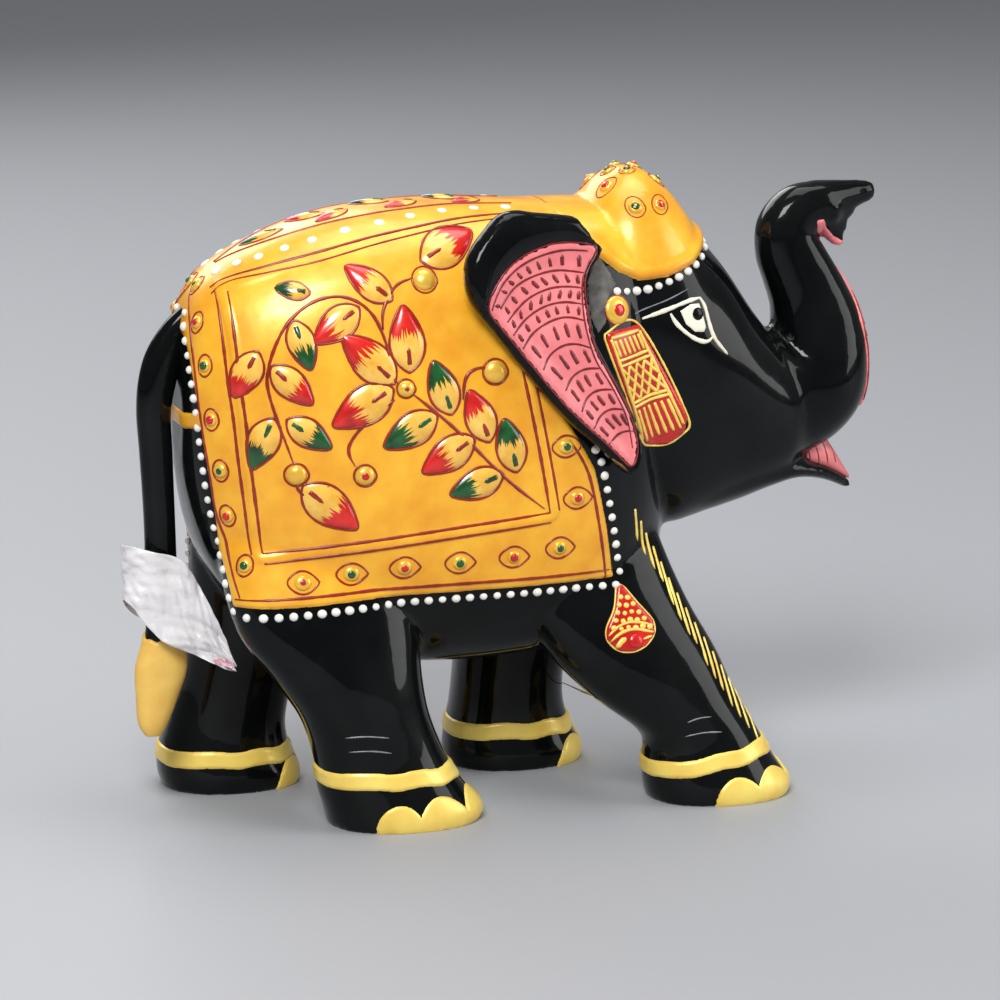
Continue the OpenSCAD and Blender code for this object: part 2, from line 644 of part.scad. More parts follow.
// A stroke of paint: [x, z, half width] along its middle
function stroke_side(path, i, sign) =
    let (a = path[max(0, i - 1)], b = path[min(len(path) - 1, i + 1)], d = [b[0] - a[0], b[1] - a[1]] / norm([b[0] - a[0], b[1] - a[1]]))
    [path[i][0] - sign * d[1] * path[i][2], path[i][1] + sign * d[0] * path[i][2]];
function stroke(path) = concat(
    [for (i = [0 : len(path) - 1]) stroke_side(path, i, 1)],
    [for (i = [len(path) - 1 : -1 : 0]) stroke_side(path, i, -1)]);

module eye(side) {
    color("#f4f0e6") layer(0, coat_thickness) {
        flank_prism(side, on_head(stroke([[26.7, 119, 0.35], [35, 120.3, 0.55], [43.6, 122.4, 0.75], [45.4, 116, 0.8], [47, 111.6, 0.8],
            [49.6, 108, 0.5]])));
        flank_prism(side, on_head(stroke([[34.4, 119.2, 0.35], [37, 114.9, 0.45], [41.5, 112, 0.5], [45.8, 113.2, 0.4]])));
    }
}

module trunk_lining() {
    color("#ff9a96") in_head_frame() difference() {
        intersection() {
            bare_trunk(coat_thickness / k_head);
            rotate([90, 0, 0]) linear_extrude(15, center = true)
                polygon([[80.5, 128.4], [83.2, 121], [86.2, 113], [88.6, 105], [89.4, 97], [87.4, 91.4], [100, 88], [100, 129]]);
        }
        bare_trunk(0);
    }
}

module tongue() {
    color("#f07078") difference() {
        in_head_frame() intersection() {
            rotate([90, 0, 0]) linear_extrude(20, center = true)
                polygon([[66, 81], [70, 83.4], [80.5, 84.4], [83, 82.4], [89.8, 71.8], [86, 71.4], [76, 76]]);
            linear_extrude(far) polygon([[66, -6.4], [79, -6.4], [90, -1.6], [90, 1.6], [79, 6.4], [66, 6.4]]);
        }
        carving();
    }
}

// ---------- feet and legs ----------
// Anklet bands: [middle height, lean forward in degrees]
anklet_bands = [[12.6, 0], [8.4, 0], [10.4, -9], [10, 0]];

module anklet(i) {
    foot = leg_row(i, leg_share(i, anklet_bands[i][0]));
    color("#ffe070") leg_layer(i, coat_thickness)
        translate([foot[1], foot[2], anklet_bands[i][0]]) rotate([0, anklet_bands[i][1], 0])
            cube([2 * foot_length, 1.4 * foot_width, anklet_height], center = true);
}

module toenails(i) {
    foot = leg_row(i, 0.05);
    color("#ffe070") leg_layer(i, coat_thickness) intersection() {
        for (turn = [-105, -62, -20, 22, 64])
            translate([foot[1] + foot[3] * cos(turn), foot[2] + foot[4] * sin(turn) * -leg_sides[i], 1.2])
                sphere(r = 0.21 * foot_length, $fn = 14);
        translate([0, 0, far / 2]) cube(far, center = true);
    }
}

module tassel(side) {
    color("#c8321e") layer(0, cloth_thickness)
        flank_prism(side, on_body([[20, 54.2], [21.2, 54.2], [28.2, 45.6], [28, 42.4], [22.7, 39.2], [17.8, 39.7], [15.8, 43.6]]));
}

// Strokes hang from the shoulder down the front of each leading edge: [x, z] of their upper ends
fringe_paths = [[[25.5, 70], [31, 59], [36, 50], [43, 38.5], [50, 26.5]], [[24.5, 70], [26, 60], [27, 50], [25, 38], [21, 28]]];
module chest_fringe() {
    color("#e0b050") for (side = [RIGHT, LEFT], p = stepped(on_body(fringe_paths[side == RIGHT ? 0 : 1]), 1.4 * bead_pitch))
        on_skin(side, p[0], p[1]) rotate([0, -8, 0]) cylinder(h = 4.6, r1 = 0.2, r2 = 0.5, center = true, $fn = 20);
}

module crupper_strap() {
    color("#e8b448") layer(0, coat_thickness)
        translate([body_x(-80), 0, body_z(95.5)]) rotate([0, 14, 0]) cube([7, 2 * torso_width, 3.4], center = true);
}

// ---------- drawing ----------
carved_body();
ear(RIGHT);  // ear_right
ear(LEFT);  // ear_left
tail();
tail_tuft();
tail_wrapper();
saddle_cloth();
back_runner();
runner_dots();
cloth_beads();
border_bosses();
cloth_leaves();
vine_buds();
head_cap();
cap_bosses();
cap_beads();
cheek_rosettes();
cheek_pendant(RIGHT);  // cheek_pendant_right
cheek_pendant(LEFT);  // cheek_pendant_left
eye(RIGHT);  // eye_right
eye(LEFT);  // eye_left
ear_lining(RIGHT);  // ear_lining_right
ear_lining(LEFT);  // ear_lining_left
trunk_lining();
tongue();
anklet(REAR_RIGHT);  // anklet_rear_right
anklet(REAR_LEFT);  // anklet_rear_left
anklet(FRONT_RIGHT);  // anklet_front_right
anklet(FRONT_LEFT);  // anklet_front_left
toenails(REAR_RIGHT);  // toenails_rear_right
toenails(REAR_LEFT);  // toenails_rear_left
toenails(FRONT_RIGHT);  // toenails_front_right
toenails(FRONT_LEFT);  // toenails_front_left
tassel(RIGHT);  // tassel_right
tassel(LEFT);  // tassel_left
chest_fringe();
crupper_strap();
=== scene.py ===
"""Painted wooden elephant with a raised trunk: the looks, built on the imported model.

Shapes are worked out in millimetres, +X to the trunk, +Y to the animal's left, +Z up,
and are turned into metres when a mesh is made.
"""
import json
import math
import random

import bmesh
import bpy
import numpy as np
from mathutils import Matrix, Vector, geometry
from mathutils.bvhtree import BVHTree

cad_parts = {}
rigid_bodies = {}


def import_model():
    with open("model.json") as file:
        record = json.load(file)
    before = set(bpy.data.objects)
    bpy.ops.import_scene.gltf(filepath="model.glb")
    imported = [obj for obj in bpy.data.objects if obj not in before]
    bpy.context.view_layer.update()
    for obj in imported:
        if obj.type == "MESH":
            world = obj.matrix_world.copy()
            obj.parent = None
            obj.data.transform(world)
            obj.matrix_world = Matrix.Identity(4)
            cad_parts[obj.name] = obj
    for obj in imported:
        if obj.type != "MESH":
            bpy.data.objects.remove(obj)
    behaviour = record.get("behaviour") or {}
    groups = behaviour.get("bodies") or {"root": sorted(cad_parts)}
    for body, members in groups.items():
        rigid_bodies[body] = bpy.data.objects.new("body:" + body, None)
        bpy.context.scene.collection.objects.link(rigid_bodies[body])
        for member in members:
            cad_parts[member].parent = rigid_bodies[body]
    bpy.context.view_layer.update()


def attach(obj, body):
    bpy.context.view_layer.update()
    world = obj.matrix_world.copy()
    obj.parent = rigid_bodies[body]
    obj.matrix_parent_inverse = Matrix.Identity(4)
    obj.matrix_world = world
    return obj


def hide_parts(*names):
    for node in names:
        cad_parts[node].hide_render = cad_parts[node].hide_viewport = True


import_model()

MM = 0.001
RIGHT = -1
LEFT = 1
SIDES = ((RIGHT, "right"), (LEFT, "left"))
rng = random.Random(7)


# ---------------------------------------------------------------- camera, light and world
def add_camera():
    azimuth, elevation = math.radians(-17.5), math.radians(12)
    distance = 1.2
    target = Vector((0, 0, 0.072))
    back = Vector((
        math.sin(azimuth) * math.cos(elevation),
        -math.cos(azimuth) * math.cos(elevation),
        math.sin(elevation),
    ))
    data = bpy.data.cameras.new("camera")
    data.lens = 177.1
    data.sensor_width = 36
    data.shift_x = -0.004
    data.shift_y = -0.003
    data.clip_end = 20
    camera = bpy.data.objects.new("camera", data)
    camera.location = target + back * distance
    camera.rotation_euler = back.to_track_quat("Z", "Y").to_euler()
    bpy.context.scene.collection.objects.link(camera)
    bpy.context.scene.camera = camera


def add_area_light(name, location, aim, size, power, color=(1, 1, 1)):
    data = bpy.data.lights.new(name, "AREA")
    data.shape = "RECTANGLE"
    data.size, data.size_y = size
    data.energy = power
    data.color = color
    light = bpy.data.objects.new(name, data)
    light.location = location
    light.rotation_euler = (Vector(location) - Vector(aim)).to_track_quat("Z", "Y").to_euler()
    bpy.context.scene.collection.objects.link(light)


def add_studio():
    add_camera()
    middle = (0, 0, 0.08)
    add_area_light("key_light", (-0.5, -0.9, 1.0), middle, (0.5, 0.5), 17)
    add_area_light("top_light", (0.1, 0.1, 1.3), middle, (0.9, 0.9), 9)
    add_area_light("fill_light", (1.1, -0.6, 0.5), middle, (0.6, 0.8), 6)
    add_area_light("back_light", (-0.2, 1.1, 0.7), middle, (0.9, 0.6), 6)
    world = bpy.data.worlds.new("studio")
    world.use_nodes = True
    background = world.node_tree.nodes["Background"]
    background.inputs["Color"].default_value = (0.66, 0.67, 0.70, 1)
    background.inputs["Strength"].default_value = 0.30
    bpy.context.scene.world = world
    bpy.context.scene.view_settings.view_transform = "Standard"


# ---------------------------------------------------------------- materials
def shader(name, color, roughness, **values):
    """A material with a Principled shader, and the shader's node."""
    material = bpy.data.materials.new(name)
    material.use_nodes = True
    node = material.node_tree.nodes["Principled BSDF"]
    node.inputs["Base Color"].default_value = (*color, 1)
    node.inputs["Roughness"].default_value = roughness
    for socket, value in values.items():
        node.inputs[socket.replace("_", " ")].default_value = value
    material.diffuse_color = (*color, 1)
    return material, node


def add_noise(material, scale, detail=3.0, roughness=0.55, stretch=(1, 1, 1)):
    """A noise texture in object space, per millimetre scale. Returns its factor socket."""
    nodes, links = material.node_tree.nodes, material.node_tree.links
    coordinates = nodes.new("ShaderNodeTexCoord")
    mapping = nodes.new("ShaderNodeMapping")
    mapping.inputs["Scale"].default_value = stretch
    noise = nodes.new("ShaderNodeTexNoise")
    noise.inputs["Scale"].default_value = scale / MM
    noise.inputs["Detail"].default_value = detail
    noise.inputs["Roughness"].default_value = roughness
    links.new(coordinates.outputs["Object"], mapping.inputs["Vector"])
    links.new(mapping.outputs["Vector"], noise.inputs["Vector"])
    return noise.outputs["Fac"]


def add_ramp(material, factor, stops):
    """A colour ramp on a factor: stops are (position, color)."""
    ramp = material.node_tree.nodes.new("ShaderNodeValToRGB")
    elements = ramp.color_ramp.elements
    while len(elements) < len(stops):
        elements.new(0.5)
    for element, (position, color) in zip(elements, stops):
        element.position = position
        element.color = (*color, 1) if len(color) == 3 else color
    material.node_tree.links.new(factor, ramp.inputs["Fac"])
    return ramp.outputs["Color"]


def add_bump(material, node, factor, strength, distance):
    bump = material.node_tree.nodes.new("ShaderNodeBump")
    bump.inputs["Strength"].default_value = strength
    bump.inputs["Distance"].default_value = distance * MM
    material.node_tree.links.new(factor, bump.inputs["Height"])
    material.node_tree.links.new(bump.outputs["Normal"], node.inputs["Normal"])


def grey(value):
    return (value, value, value)


def paint(name, dark, light, roughness=(0.3, 0.45), metallic=0.0, coat=0.3, grain=0.35, bump=0.12):
    """Hand-brushed paint: two tones mottled together, a varied gloss and faint brush marks."""
    material, node = shader(name, light, roughness[0], Metallic=metallic, Coat_Weight=coat,
                            Coat_Roughness=0.12)
    links = material.node_tree.links
    blotches = add_noise(material, 0.11 * grain / 0.35, 4)
    links.new(add_ramp(material, blotches, [(0.3, dark), (0.68, light)]), node.inputs["Base Color"])
    gloss = add_noise(material, 0.3, 3)
    links.new(add_ramp(material, gloss, [(0.35, grey(roughness[0])), (0.7, grey(roughness[1]))]),
              node.inputs["Roughness"])
    marks = add_noise(material, 0.55, 4, 0.6, (1, 1, 0.35))
    add_bump(material, node, marks, 0.35, bump)
    return material


def brushed_edge_paint(name, tip_dark, tip_light):
    """A leaf: gold at its base, with a ragged brush edge to its coloured tip."""
    material, node = shader(name, tip_light, 0.26, Coat_Weight=0.5, Coat_Roughness=0.1)
    nodes, links = material.node_tree.nodes, material.node_tree.links
    leaf = nodes.new("ShaderNodeAttribute")
    leaf.attribute_name = "leaf_place"
    split = nodes.new("ShaderNodeSeparateXYZ")
    links.new(leaf.outputs["Vector"], split.inputs["Vector"])
    stretched = nodes.new("ShaderNodeMapping")
    stretched.inputs["Scale"].default_value = (1.3, 5.2, 11)
    links.new(leaf.outputs["Vector"], stretched.inputs["Vector"])
    streaks = nodes.new("ShaderNodeTexNoise")
    streaks.inputs["Scale"].default_value = 1.6
    streaks.inputs["Detail"].default_value = 2
    links.new(stretched.outputs["Vector"], streaks.inputs["Vector"])
    ragged = nodes.new("ShaderNodeMath")
    ragged.operation = "MULTIPLY_ADD"
    ragged.inputs[1].default_value = 0.62
    links.new(streaks.outputs["Fac"], ragged.inputs[0])
    links.new(split.outputs["X"], ragged.inputs[2])
    edge = nodes.new("ShaderNodeMapRange")
    edge.inputs["From Min"].default_value = 0.84
    edge.inputs["From Max"].default_value = 0.88
    links.new(ragged.outputs["Value"], edge.inputs["Value"])
    mottle = add_noise(material, 0.22, 4)
    tip = add_ramp(material, mottle, [(0.32, tip_dark), (0.66, tip_light)])
    base = add_ramp(material, mottle, [(0.3, (0.80, 0.40, 0.035)), (0.7, (0.98, 0.62, 0.12))])
    mix = nodes.new("ShaderNodeMix")
    mix.data_type = "RGBA"
    links.new(edge.outputs["Result"], mix.inputs["Factor"])
    links.new(base, mix.inputs["A"])
    links.new(tip, mix.inputs["B"])
    links.new(mix.outputs["Result"], node.inputs["Base Color"])
    add_bump(material, node, add_noise(material, 0.5, 3), 0.3, 0.1)
    return material


def lacquer():
    material, node = shader("black_lacquer", (0.003, 0.0035, 0.004), 0.25, Coat_Weight=0.55,
                            Coat_Roughness=0.045, Coat_IOR=1.36, Specular_IOR_Level=0.05)
    links = material.node_tree.links
    tone = add_noise(material, 0.05, 3)
    links.new(
        add_ramp(material, tone, [(0.35, (0.0015, 0.0018, 0.002)), (0.7, (0.005, 0.006, 0.006))]),
        node.inputs["Base Color"],
    )
    links.new(add_ramp(material, add_noise(material, 0.25, 4), [(0.4, grey(0.14)), (0.75, grey(0.3))]),
              node.inputs["Roughness"])
    add_bump(material, node, add_noise(material, 0.07, 3), 0.5, 0.5)
    return material


def film():
    material, node = shader("clear_film", (0.95, 0.93, 0.94), 0.2, Transmission_Weight=0.2, IOR=1.35,
                            Coat_Weight=0.6, Coat_Roughness=0.08)
    links = material.node_tree.links
    links.new(
        add_ramp(material, add_noise(material, 0.13, 2), [
            (0.2, (0.90, 0.86, 0.86)), (0.55, (0.98, 0.96, 0.97)), (0.655, (0.96, 0.92, 0.93)),
            (0.68, (0.85, 0.28, 0.42)), (0.72, (0.96, 0.90, 0.91)),
        ]),
        node.inputs["Base Color"],
    )
    add_bump(material, node, add_noise(material, 0.3, 5, 0.65), 0.8, 0.5)
    return material


def make_materials():
    made = {
        "lacquer": lacquer(),
        "gold": paint("gold_paint", (0.88, 0.345, 0.010), (1.0, 0.52, 0.028), (0.30, 0.46), 0.1, 0.3),
        "pale_gold": paint("pale_gold", (0.92, 0.60, 0.10), (1.0, 0.78, 0.17), (0.30, 0.45), 0.12, 0.3),
        "bright_gold": paint("bright_gold", (0.84, 0.44, 0.035), (1.0, 0.63, 0.09), (0.2, 0.34), 0.3, 0.5),
        "line_red": paint("line_red", (0.20, 0.006, 0.001), (0.36, 0.018, 0.004), (0.28, 0.42), 0, 0.4),
        "red": paint("red_paint", (0.42, 0.003, 0.002), (0.68, 0.012, 0.006), (0.22, 0.35), 0, 0.5),
        "green": paint("green_paint", (0.003, 0.035, 0.008), (0.006, 0.11, 0.018), (0.2, 0.32), 0, 0.5),
        "white": paint("white_paint", (0.78, 0.77, 0.70), (0.93, 0.92, 0.88), (0.25, 0.4), 0, 0.4),
        "cream": paint("cream_paint", (0.76, 0.70, 0.52), (0.90, 0.87, 0.72), (0.3, 0.45), 0, 0.3),
        "pink": paint("pink_paint", (0.72, 0.15, 0.165), (0.90, 0.26, 0.265), (0.34, 0.48), 0, 0.2),
        "silver": paint("silver_line", (0.16, 0.18, 0.19), (0.30, 0.32, 0.34), (0.3, 0.5), 0.3, 0.2),
        "dark_gold": paint("dark_gold", (0.16, 0.07, 0.015), (0.36, 0.17, 0.035), (0.35, 0.55), 0.2, 0.2),
        # A paler grey, matte lacquer tone for a patch on the neck beside the ear.
        "grey_patch": paint("grey_patch_lacquer", (0.012, 0.012, 0.011), (0.16, 0.15, 0.13), (0.5, 0.75), 0, 0.1,
                         0.9, 0.3),
        "leaf_red": brushed_edge_paint("leaf_red", (0.46, 0.004, 0.003), (0.76, 0.018, 0.010)),
        "leaf_green": brushed_edge_paint("leaf_green", (0.002, 0.028, 0.006), (0.006, 0.12, 0.02)),
        "deep_red": paint("deep_red", (0.10, 0.002, 0.004), (0.24, 0.006, 0.010), (0.3, 0.45), 0, 0.3),
        "tuft_gold": paint("tuft_gold", (0.84, 0.48, 0.08), (0.98, 0.64, 0.15), (0.4, 0.55), 0.05, 0.15),
        "film": film(),
    }
    return made


# ---------------------------------------------------------------- curves and lofts
def smooth_rows(table, count, closed=False):
    """Points at even steps on a smooth curve through a table's rows."""
    table = np.asarray(table, float)
    n = len(table)
    spans = n if closed else n - 1
    u = np.linspace(0, spans, count, endpoint=not closed)
    i = np.minimum(u.astype(int), spans - 1)
    t = (u - i)[:, None]
    if closed:
        a, b, c, d = (table[(i + k) % n] for k in (-1, 0, 1, 2))
    else:
        a, b, c, d = (table[np.clip(i + k, 0, n - 1)] for k in (-1, 0, 1, 2))
    squared = 2 * a - 5 * b + 4 * c - d
    cubed = 3 * b - a - 3 * c + d
    return 0.5 * (2 * b + (c - a) * t + squared * t ** 2 + cubed * t ** 3)


def superellipse(half_a, half_b, power, count):
    angle = np.linspace(0, 2 * math.pi, count, endpoint=False)
    c, s = np.cos(angle), np.sin(angle)
    return np.stack([
        half_a * np.sign(c) * np.abs(c) ** (2 / power),
        half_b * np.sign(s) * np.abs(s) ** (2 / power),
    ], 1)


def loft(rings):
    """Vertices and faces of a closed tube through rings of points, with flat ends."""
    rings = np.asarray(rings, float)
    k, m = rings.shape[:2]
    faces = []
    for i in range(k - 1):
        for j in range(m):
            n = (j + 1) % m
            faces.append((i * m + j, i * m + n, (i + 1) * m + n, (i + 1) * m + j))
    faces.append(tuple(range(m))[::-1])
    faces.append(tuple((k - 1) * m + j for j in range(m)))
    return rings.reshape(-1, 3), faces


def joined(shapes):
    """One list of vertices and one of faces from several."""
    verts, faces, start = [], [], 0
    for v, f in shapes:
        verts.append(np.asarray(v, float))
        faces.extend(tuple(i + start for i in face) for face in f)
        start += len(v)
    return np.concatenate(verts), faces


def new_object(name, verts, faces, material, smooth=True, fix_normals=True):
    """A mesh object from points in millimetres."""
    mesh = bpy.data.meshes.new(name)
    mesh.from_pydata((np.asarray(verts) * MM).tolist(), [], faces)
    if fix_normals:
        bm = bmesh.new()
        bm.from_mesh(mesh)
        bmesh.ops.recalc_face_normals(bm, faces=bm.faces)
        bm.to_mesh(mesh)
        bm.free()
    mesh.materials.append(material)
    mesh.polygons.foreach_set("use_smooth", [smooth] * len(mesh.polygons))
    obj = bpy.data.objects.new(name, mesh)
    bpy.context.scene.collection.objects.link(obj)
    return obj


def place(obj, slot, *nodes):
    """The piece rides on the body and stands for CAD nodes, which it hides; its slot is not used."""
    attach(obj, "root")
    if nodes:
        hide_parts(*nodes)
    return obj


def mesh_arrays(obj):
    """Vertices in millimetres and normals of an object's mesh."""
    mesh = obj.data
    verts = np.empty(len(mesh.vertices) * 3)
    mesh.vertices.foreach_get("co", verts)
    normals = np.empty(len(mesh.vertices) * 3)
    mesh.vertices.foreach_get("normal", normals)
    return verts.reshape(-1, 3) / MM, normals.reshape(-1, 3)


def set_vertices(obj, verts):
    obj.data.vertices.foreach_set("co", (np.asarray(verts) * MM).ravel())
    obj.data.update()


def relax(verts, edges, rounds, weights=None):
    """Smooths points along their edges and keeps the volume, more where the weights are higher."""
    count = len(verts)
    ends = np.concatenate([edges[:, 0], edges[:, 1]])
    others = np.concatenate([edges[:, 1], edges[:, 0]])
    degree = np.maximum(np.bincount(ends, minlength=count), 1)
    weights = np.ones(count) if weights is None else weights
    for step in range(2 * rounds):
        amount = 0.55 if step % 2 == 0 else -0.565
        mean = np.stack([np.bincount(ends, verts[others, k], count) for k in range(3)], 1) / degree[:, None]
        verts = verts + amount * weights[:, None] * (mean - verts)
    return verts


# ---------------------------------------------------------------- carved body
RUMP_X, TORSO_LENGTH = -81.5, 121
TORSO_ROWS = [
    (87, 113, 6), (64, 128, 17.5), (46, 137, 26), (37, 143.5, 30.2),
    (34, 145.5, 31.5), (34.5, 144.5, 31.5), (38, 144, 27.5), (49, 141, 16.5), (70, 126, 5),
]
# Each leg from the sole up: height, middle x, middle y share, half length share, half width share
HALF_TRACK, HALF_FOOT_LENGTH, HALF_FOOT_WIDTH = 23, 18.5, 14.5
LEGS = {
    "rear_right": (RIGHT, [
        (0, -33, 1, 0.98, 0.98), (3.5, -33, 1, 1.03, 1.02), (9, -36, 1, 0.95, 0.95),
        (16, -38.5, 0.99, 0.86, 0.88), (26, -42, 0.96, 0.84, 0.88), (36, -46, 0.9, 0.98, 0.92),
        (48, -50, 0.8, 1.2, 0.9), (66, -52, 0.6, 1.25, 0.86), (86, -52, 0.4, 1.1, 0.8),
    ]),
    "rear_left": (LEFT, [
        (0, -64, 1, 0.9, 0.98), (3.5, -64.5, 1, 0.94, 1.02), (9, -65.5, 1, 0.88, 0.95),
        (16, -65, 0.99, 0.8, 0.88), (26, -62.5, 0.96, 0.78, 0.88), (36, -59.5, 0.9, 0.86, 0.92),
        (48, -56, 0.8, 1.0, 0.9), (66, -54, 0.6, 1.15, 0.86), (86, -52, 0.4, 1.1, 0.8),
    ]),
    "front_right": (RIGHT, [
        (0, 47, 1, 0.93, 0.98), (3.5, 47, 1, 0.97, 1.02), (9, 45, 1, 0.88, 0.93),
        (16, 42.5, 0.98, 0.79, 0.86), (26, 33.5, 0.94, 0.97, 0.88), (36, 26.5, 0.86, 1.12, 0.92),
        (48, 19.5, 0.72, 1.16, 0.9), (62, 14.5, 0.52, 1.15, 0.84), (80, 10, 0.4, 1.1, 0.8),
    ]),
    "front_left": (LEFT, [
        (0, 9, 1, 0.9, 0.98), (3.5, 9, 1, 0.94, 1.02), (9, 8, 1, 0.86, 0.93), (16, 7.5, 0.98, 0.77, 0.86),
        (26, 8, 0.94, 0.76, 0.86), (36, 10, 0.86, 0.86, 0.9), (48, 13, 0.72, 1, 0.9),
        (62, 14, 0.52, 1.1, 0.84), (80, 10, 0.4, 1.1, 0.8),
    ]),
}
HEAD_ROWS = [
    (80, 141, 19), (71, 149, 22.7), (65.5, 151.5, 23.5), (63.5, 146.5, 23.5),
    (65, 136.5, 22.4), (67.5, 127.5, 20.6), (70, 116.5, 18.3), (73, 107.5, 15.5), (78, 102, 11),
]
HEAD_BACK_X, HEAD_FRONT_X = 17, 77
TRUNK_ROWS = [
    (66, 95, 0, 16, 1.04), (74, 94.5, 18, 15.5, 1.02), (80.5, 98, 52, 13.2, 0.98),
    (81.4, 105, 84, 11.8, 0.88), (80.4, 112, 99, 11, 0.76), (78.4, 118.5, 107, 9.6, 0.66),
    (75.6, 124.5, 109, 8.8, 0.6), (73.2, 130, 102, 8.2, 0.56), (73, 135.4, 68, 7.4, 0.54),
    (76.8, 139.4, 28, 6.6, 0.52), (82.5, 141, 6, 5.2, 0.5),
]
TRUNK_BASE_HALF, TRUNK_TIP_HALF = 13, 5.5
JAW_ROWS = [
    (34, 66, 90, 15), (46, 65.5, 88, 15.5), (57, 68, 85, 14), (66, 71, 82, 12.5), (74, 73, 79, 10.5),
    (82, 71.8, 76.2, 7.5), (89.5, 68.8, 71.2, 3),
]


def section_x(x, low, high, half_width, power, count):
    """A ring across the body at x, between two heights."""
    ring = superellipse(half_width, (high - low) / 2, power, count)
    return np.stack([np.full(count, x), ring[:, 0], (low + high) / 2 + ring[:, 1]], 1)


def torso_shape(steps=90, count=96):
    rows = smooth_rows(TORSO_ROWS, steps)
    u = np.linspace(0, 1, steps)
    xs = RUMP_X + TORSO_LENGTH * (1 - np.cos(math.pi * u)) / 2
    return loft([section_x(x, r[0], r[1], r[2], 2.7, count) for x, r in zip(xs, rows)])


def leg_shape(side, table, steps=60, count=64):
    rings = []
    for z, x, y, half_length, half_width in smooth_rows(table, steps):
        ring = superellipse(half_length * HALF_FOOT_LENGTH, half_width * HALF_FOOT_WIDTH, 2.3, count)
        rings.append(np.stack([x + ring[:, 0], side * y * HALF_TRACK + ring[:, 1], np.full(count, z)], 1))
    return loft(rings)


def head_shape(steps=70, count=96):
    rows = smooth_rows(HEAD_ROWS, steps)
    xs = np.linspace(HEAD_BACK_X, HEAD_FRONT_X, steps)
    return loft([section_x(x, r[0], r[1], r[2], 2.25, count) for x, r in zip(xs, rows)])


def trunk_shape(steps=100, count=64):
    rings = []
    rows = smooth_rows(TRUNK_ROWS, steps)
    for t, (x, z, direction, half_depth, share) in zip(np.linspace(0, 1, steps), rows):
        half_width = share * TRUNK_BASE_HALF + (TRUNK_TIP_HALF - 0.5 * TRUNK_BASE_HALF) * t * t
        ring = superellipse(half_width, half_depth, 2.4, count)
        turn = math.radians(direction)
        rings.append(np.stack([x - math.sin(turn) * ring[:, 1], ring[:, 0],
                               z + math.cos(turn) * ring[:, 1]], 1))
    return loft(rings)


def jaw_shape(steps=50, count=64):
    return loft([section_x(r[0], r[1], r[2], r[3], 2.2, count) for r in smooth_rows(JAW_ROWS, steps)])


def lip_shape(start, end, start_radius, end_radius, half_width, steps=24, count=32):
    """A tapering lip of the trunk's tip, rounded at both ends."""
    start, end = np.array(start, float), np.array(end, float)
    length = np.linalg.norm(end - start)
    along = (end - start) / length
    across = np.array([-along[1], along[0]])
    rings = []
    for s in np.linspace(-start_radius * 0.98, length + end_radius * 0.98, steps):
        share = min(1, max(0, s / length))
        radius = start_radius + (end_radius - start_radius) * share
        over = max(0, -s, s - length)
        radius = math.sqrt(max(radius * radius - over * over, 0.01))
        width = radius * half_width / start_radius * (1 - 0.3 * share)
        middle = start + along * s
        ring = superellipse(width, radius, 2.1, count)
        rings.append(np.stack([middle[0] + across[0] * ring[:, 1], ring[:, 0],
                               middle[1] + across[1] * ring[:, 1]], 1))
    return loft(rings)


def evaluated_copy(obj, name):
    """The object's mesh with its modifiers applied."""
    graph = bpy.context.evaluated_depsgraph_get()
    mesh = bpy.data.meshes.new_from_object(obj.evaluated_get(graph))
    mesh.name = name
    return mesh


def build_body(material):
    """The carving in one block: lofts joined by a fine remesh, with softened valleys between them."""
    shapes = [torso_shape(), head_shape(), trunk_shape(), jaw_shape()]
    shapes += [leg_shape(side, table) for side, table in LEGS.values()]
    shapes.append(lip_shape((81, 141.2), (93.2, 143.2), 5.4, 2.8, 5.6))
    shapes.append(lip_shape((84.2, 139.2), (88.1, 138.9), 4.4, 2.4, 5.4))
    shapes.append(lip_shape((83.4, 138), (86.7, 135), 3.9, 2, 5.2))
    shapes.append(lip_shape((82, 138.5), (86.2, 131.6), 4.4, 1.7, 5.4))
    rough = new_object("rough_body", *joined(shapes), material)
    remesh = rough.modifiers.new("remesh", "REMESH")
    remesh.mode = "VOXEL"
    remesh.voxel_size = 1.0 * MM
    mesh = evaluated_copy(rough, "lacquered_body")
    bpy.data.objects.remove(rough)
    body = bpy.data.objects.new("lacquered_body", mesh)
    bpy.context.scene.collection.objects.link(body)
    verts, _ = mesh_arrays(body)
    edges = np.empty(len(mesh.edges) * 2, int)
    mesh.edges.foreach_get("vertices", edges)
    edges = edges.reshape(-1, 2)
    fine = np.clip((verts[:, 0] - 62) / 10, 0, 1)
    verts = relax(verts, edges, 18, 1 - 0.75 * fine)
    verts = relax(verts, edges, 10, 0.35 + 0.65 * (1 - fine))
    low = verts[:, 2] < 0.45
    verts[low, 2] = 0
    set_vertices(body, verts)
    mesh.polygons.foreach_set("use_smooth", [True] * len(mesh.polygons))
    mesh.materials.clear()
    mesh.materials.append(material)
    return body


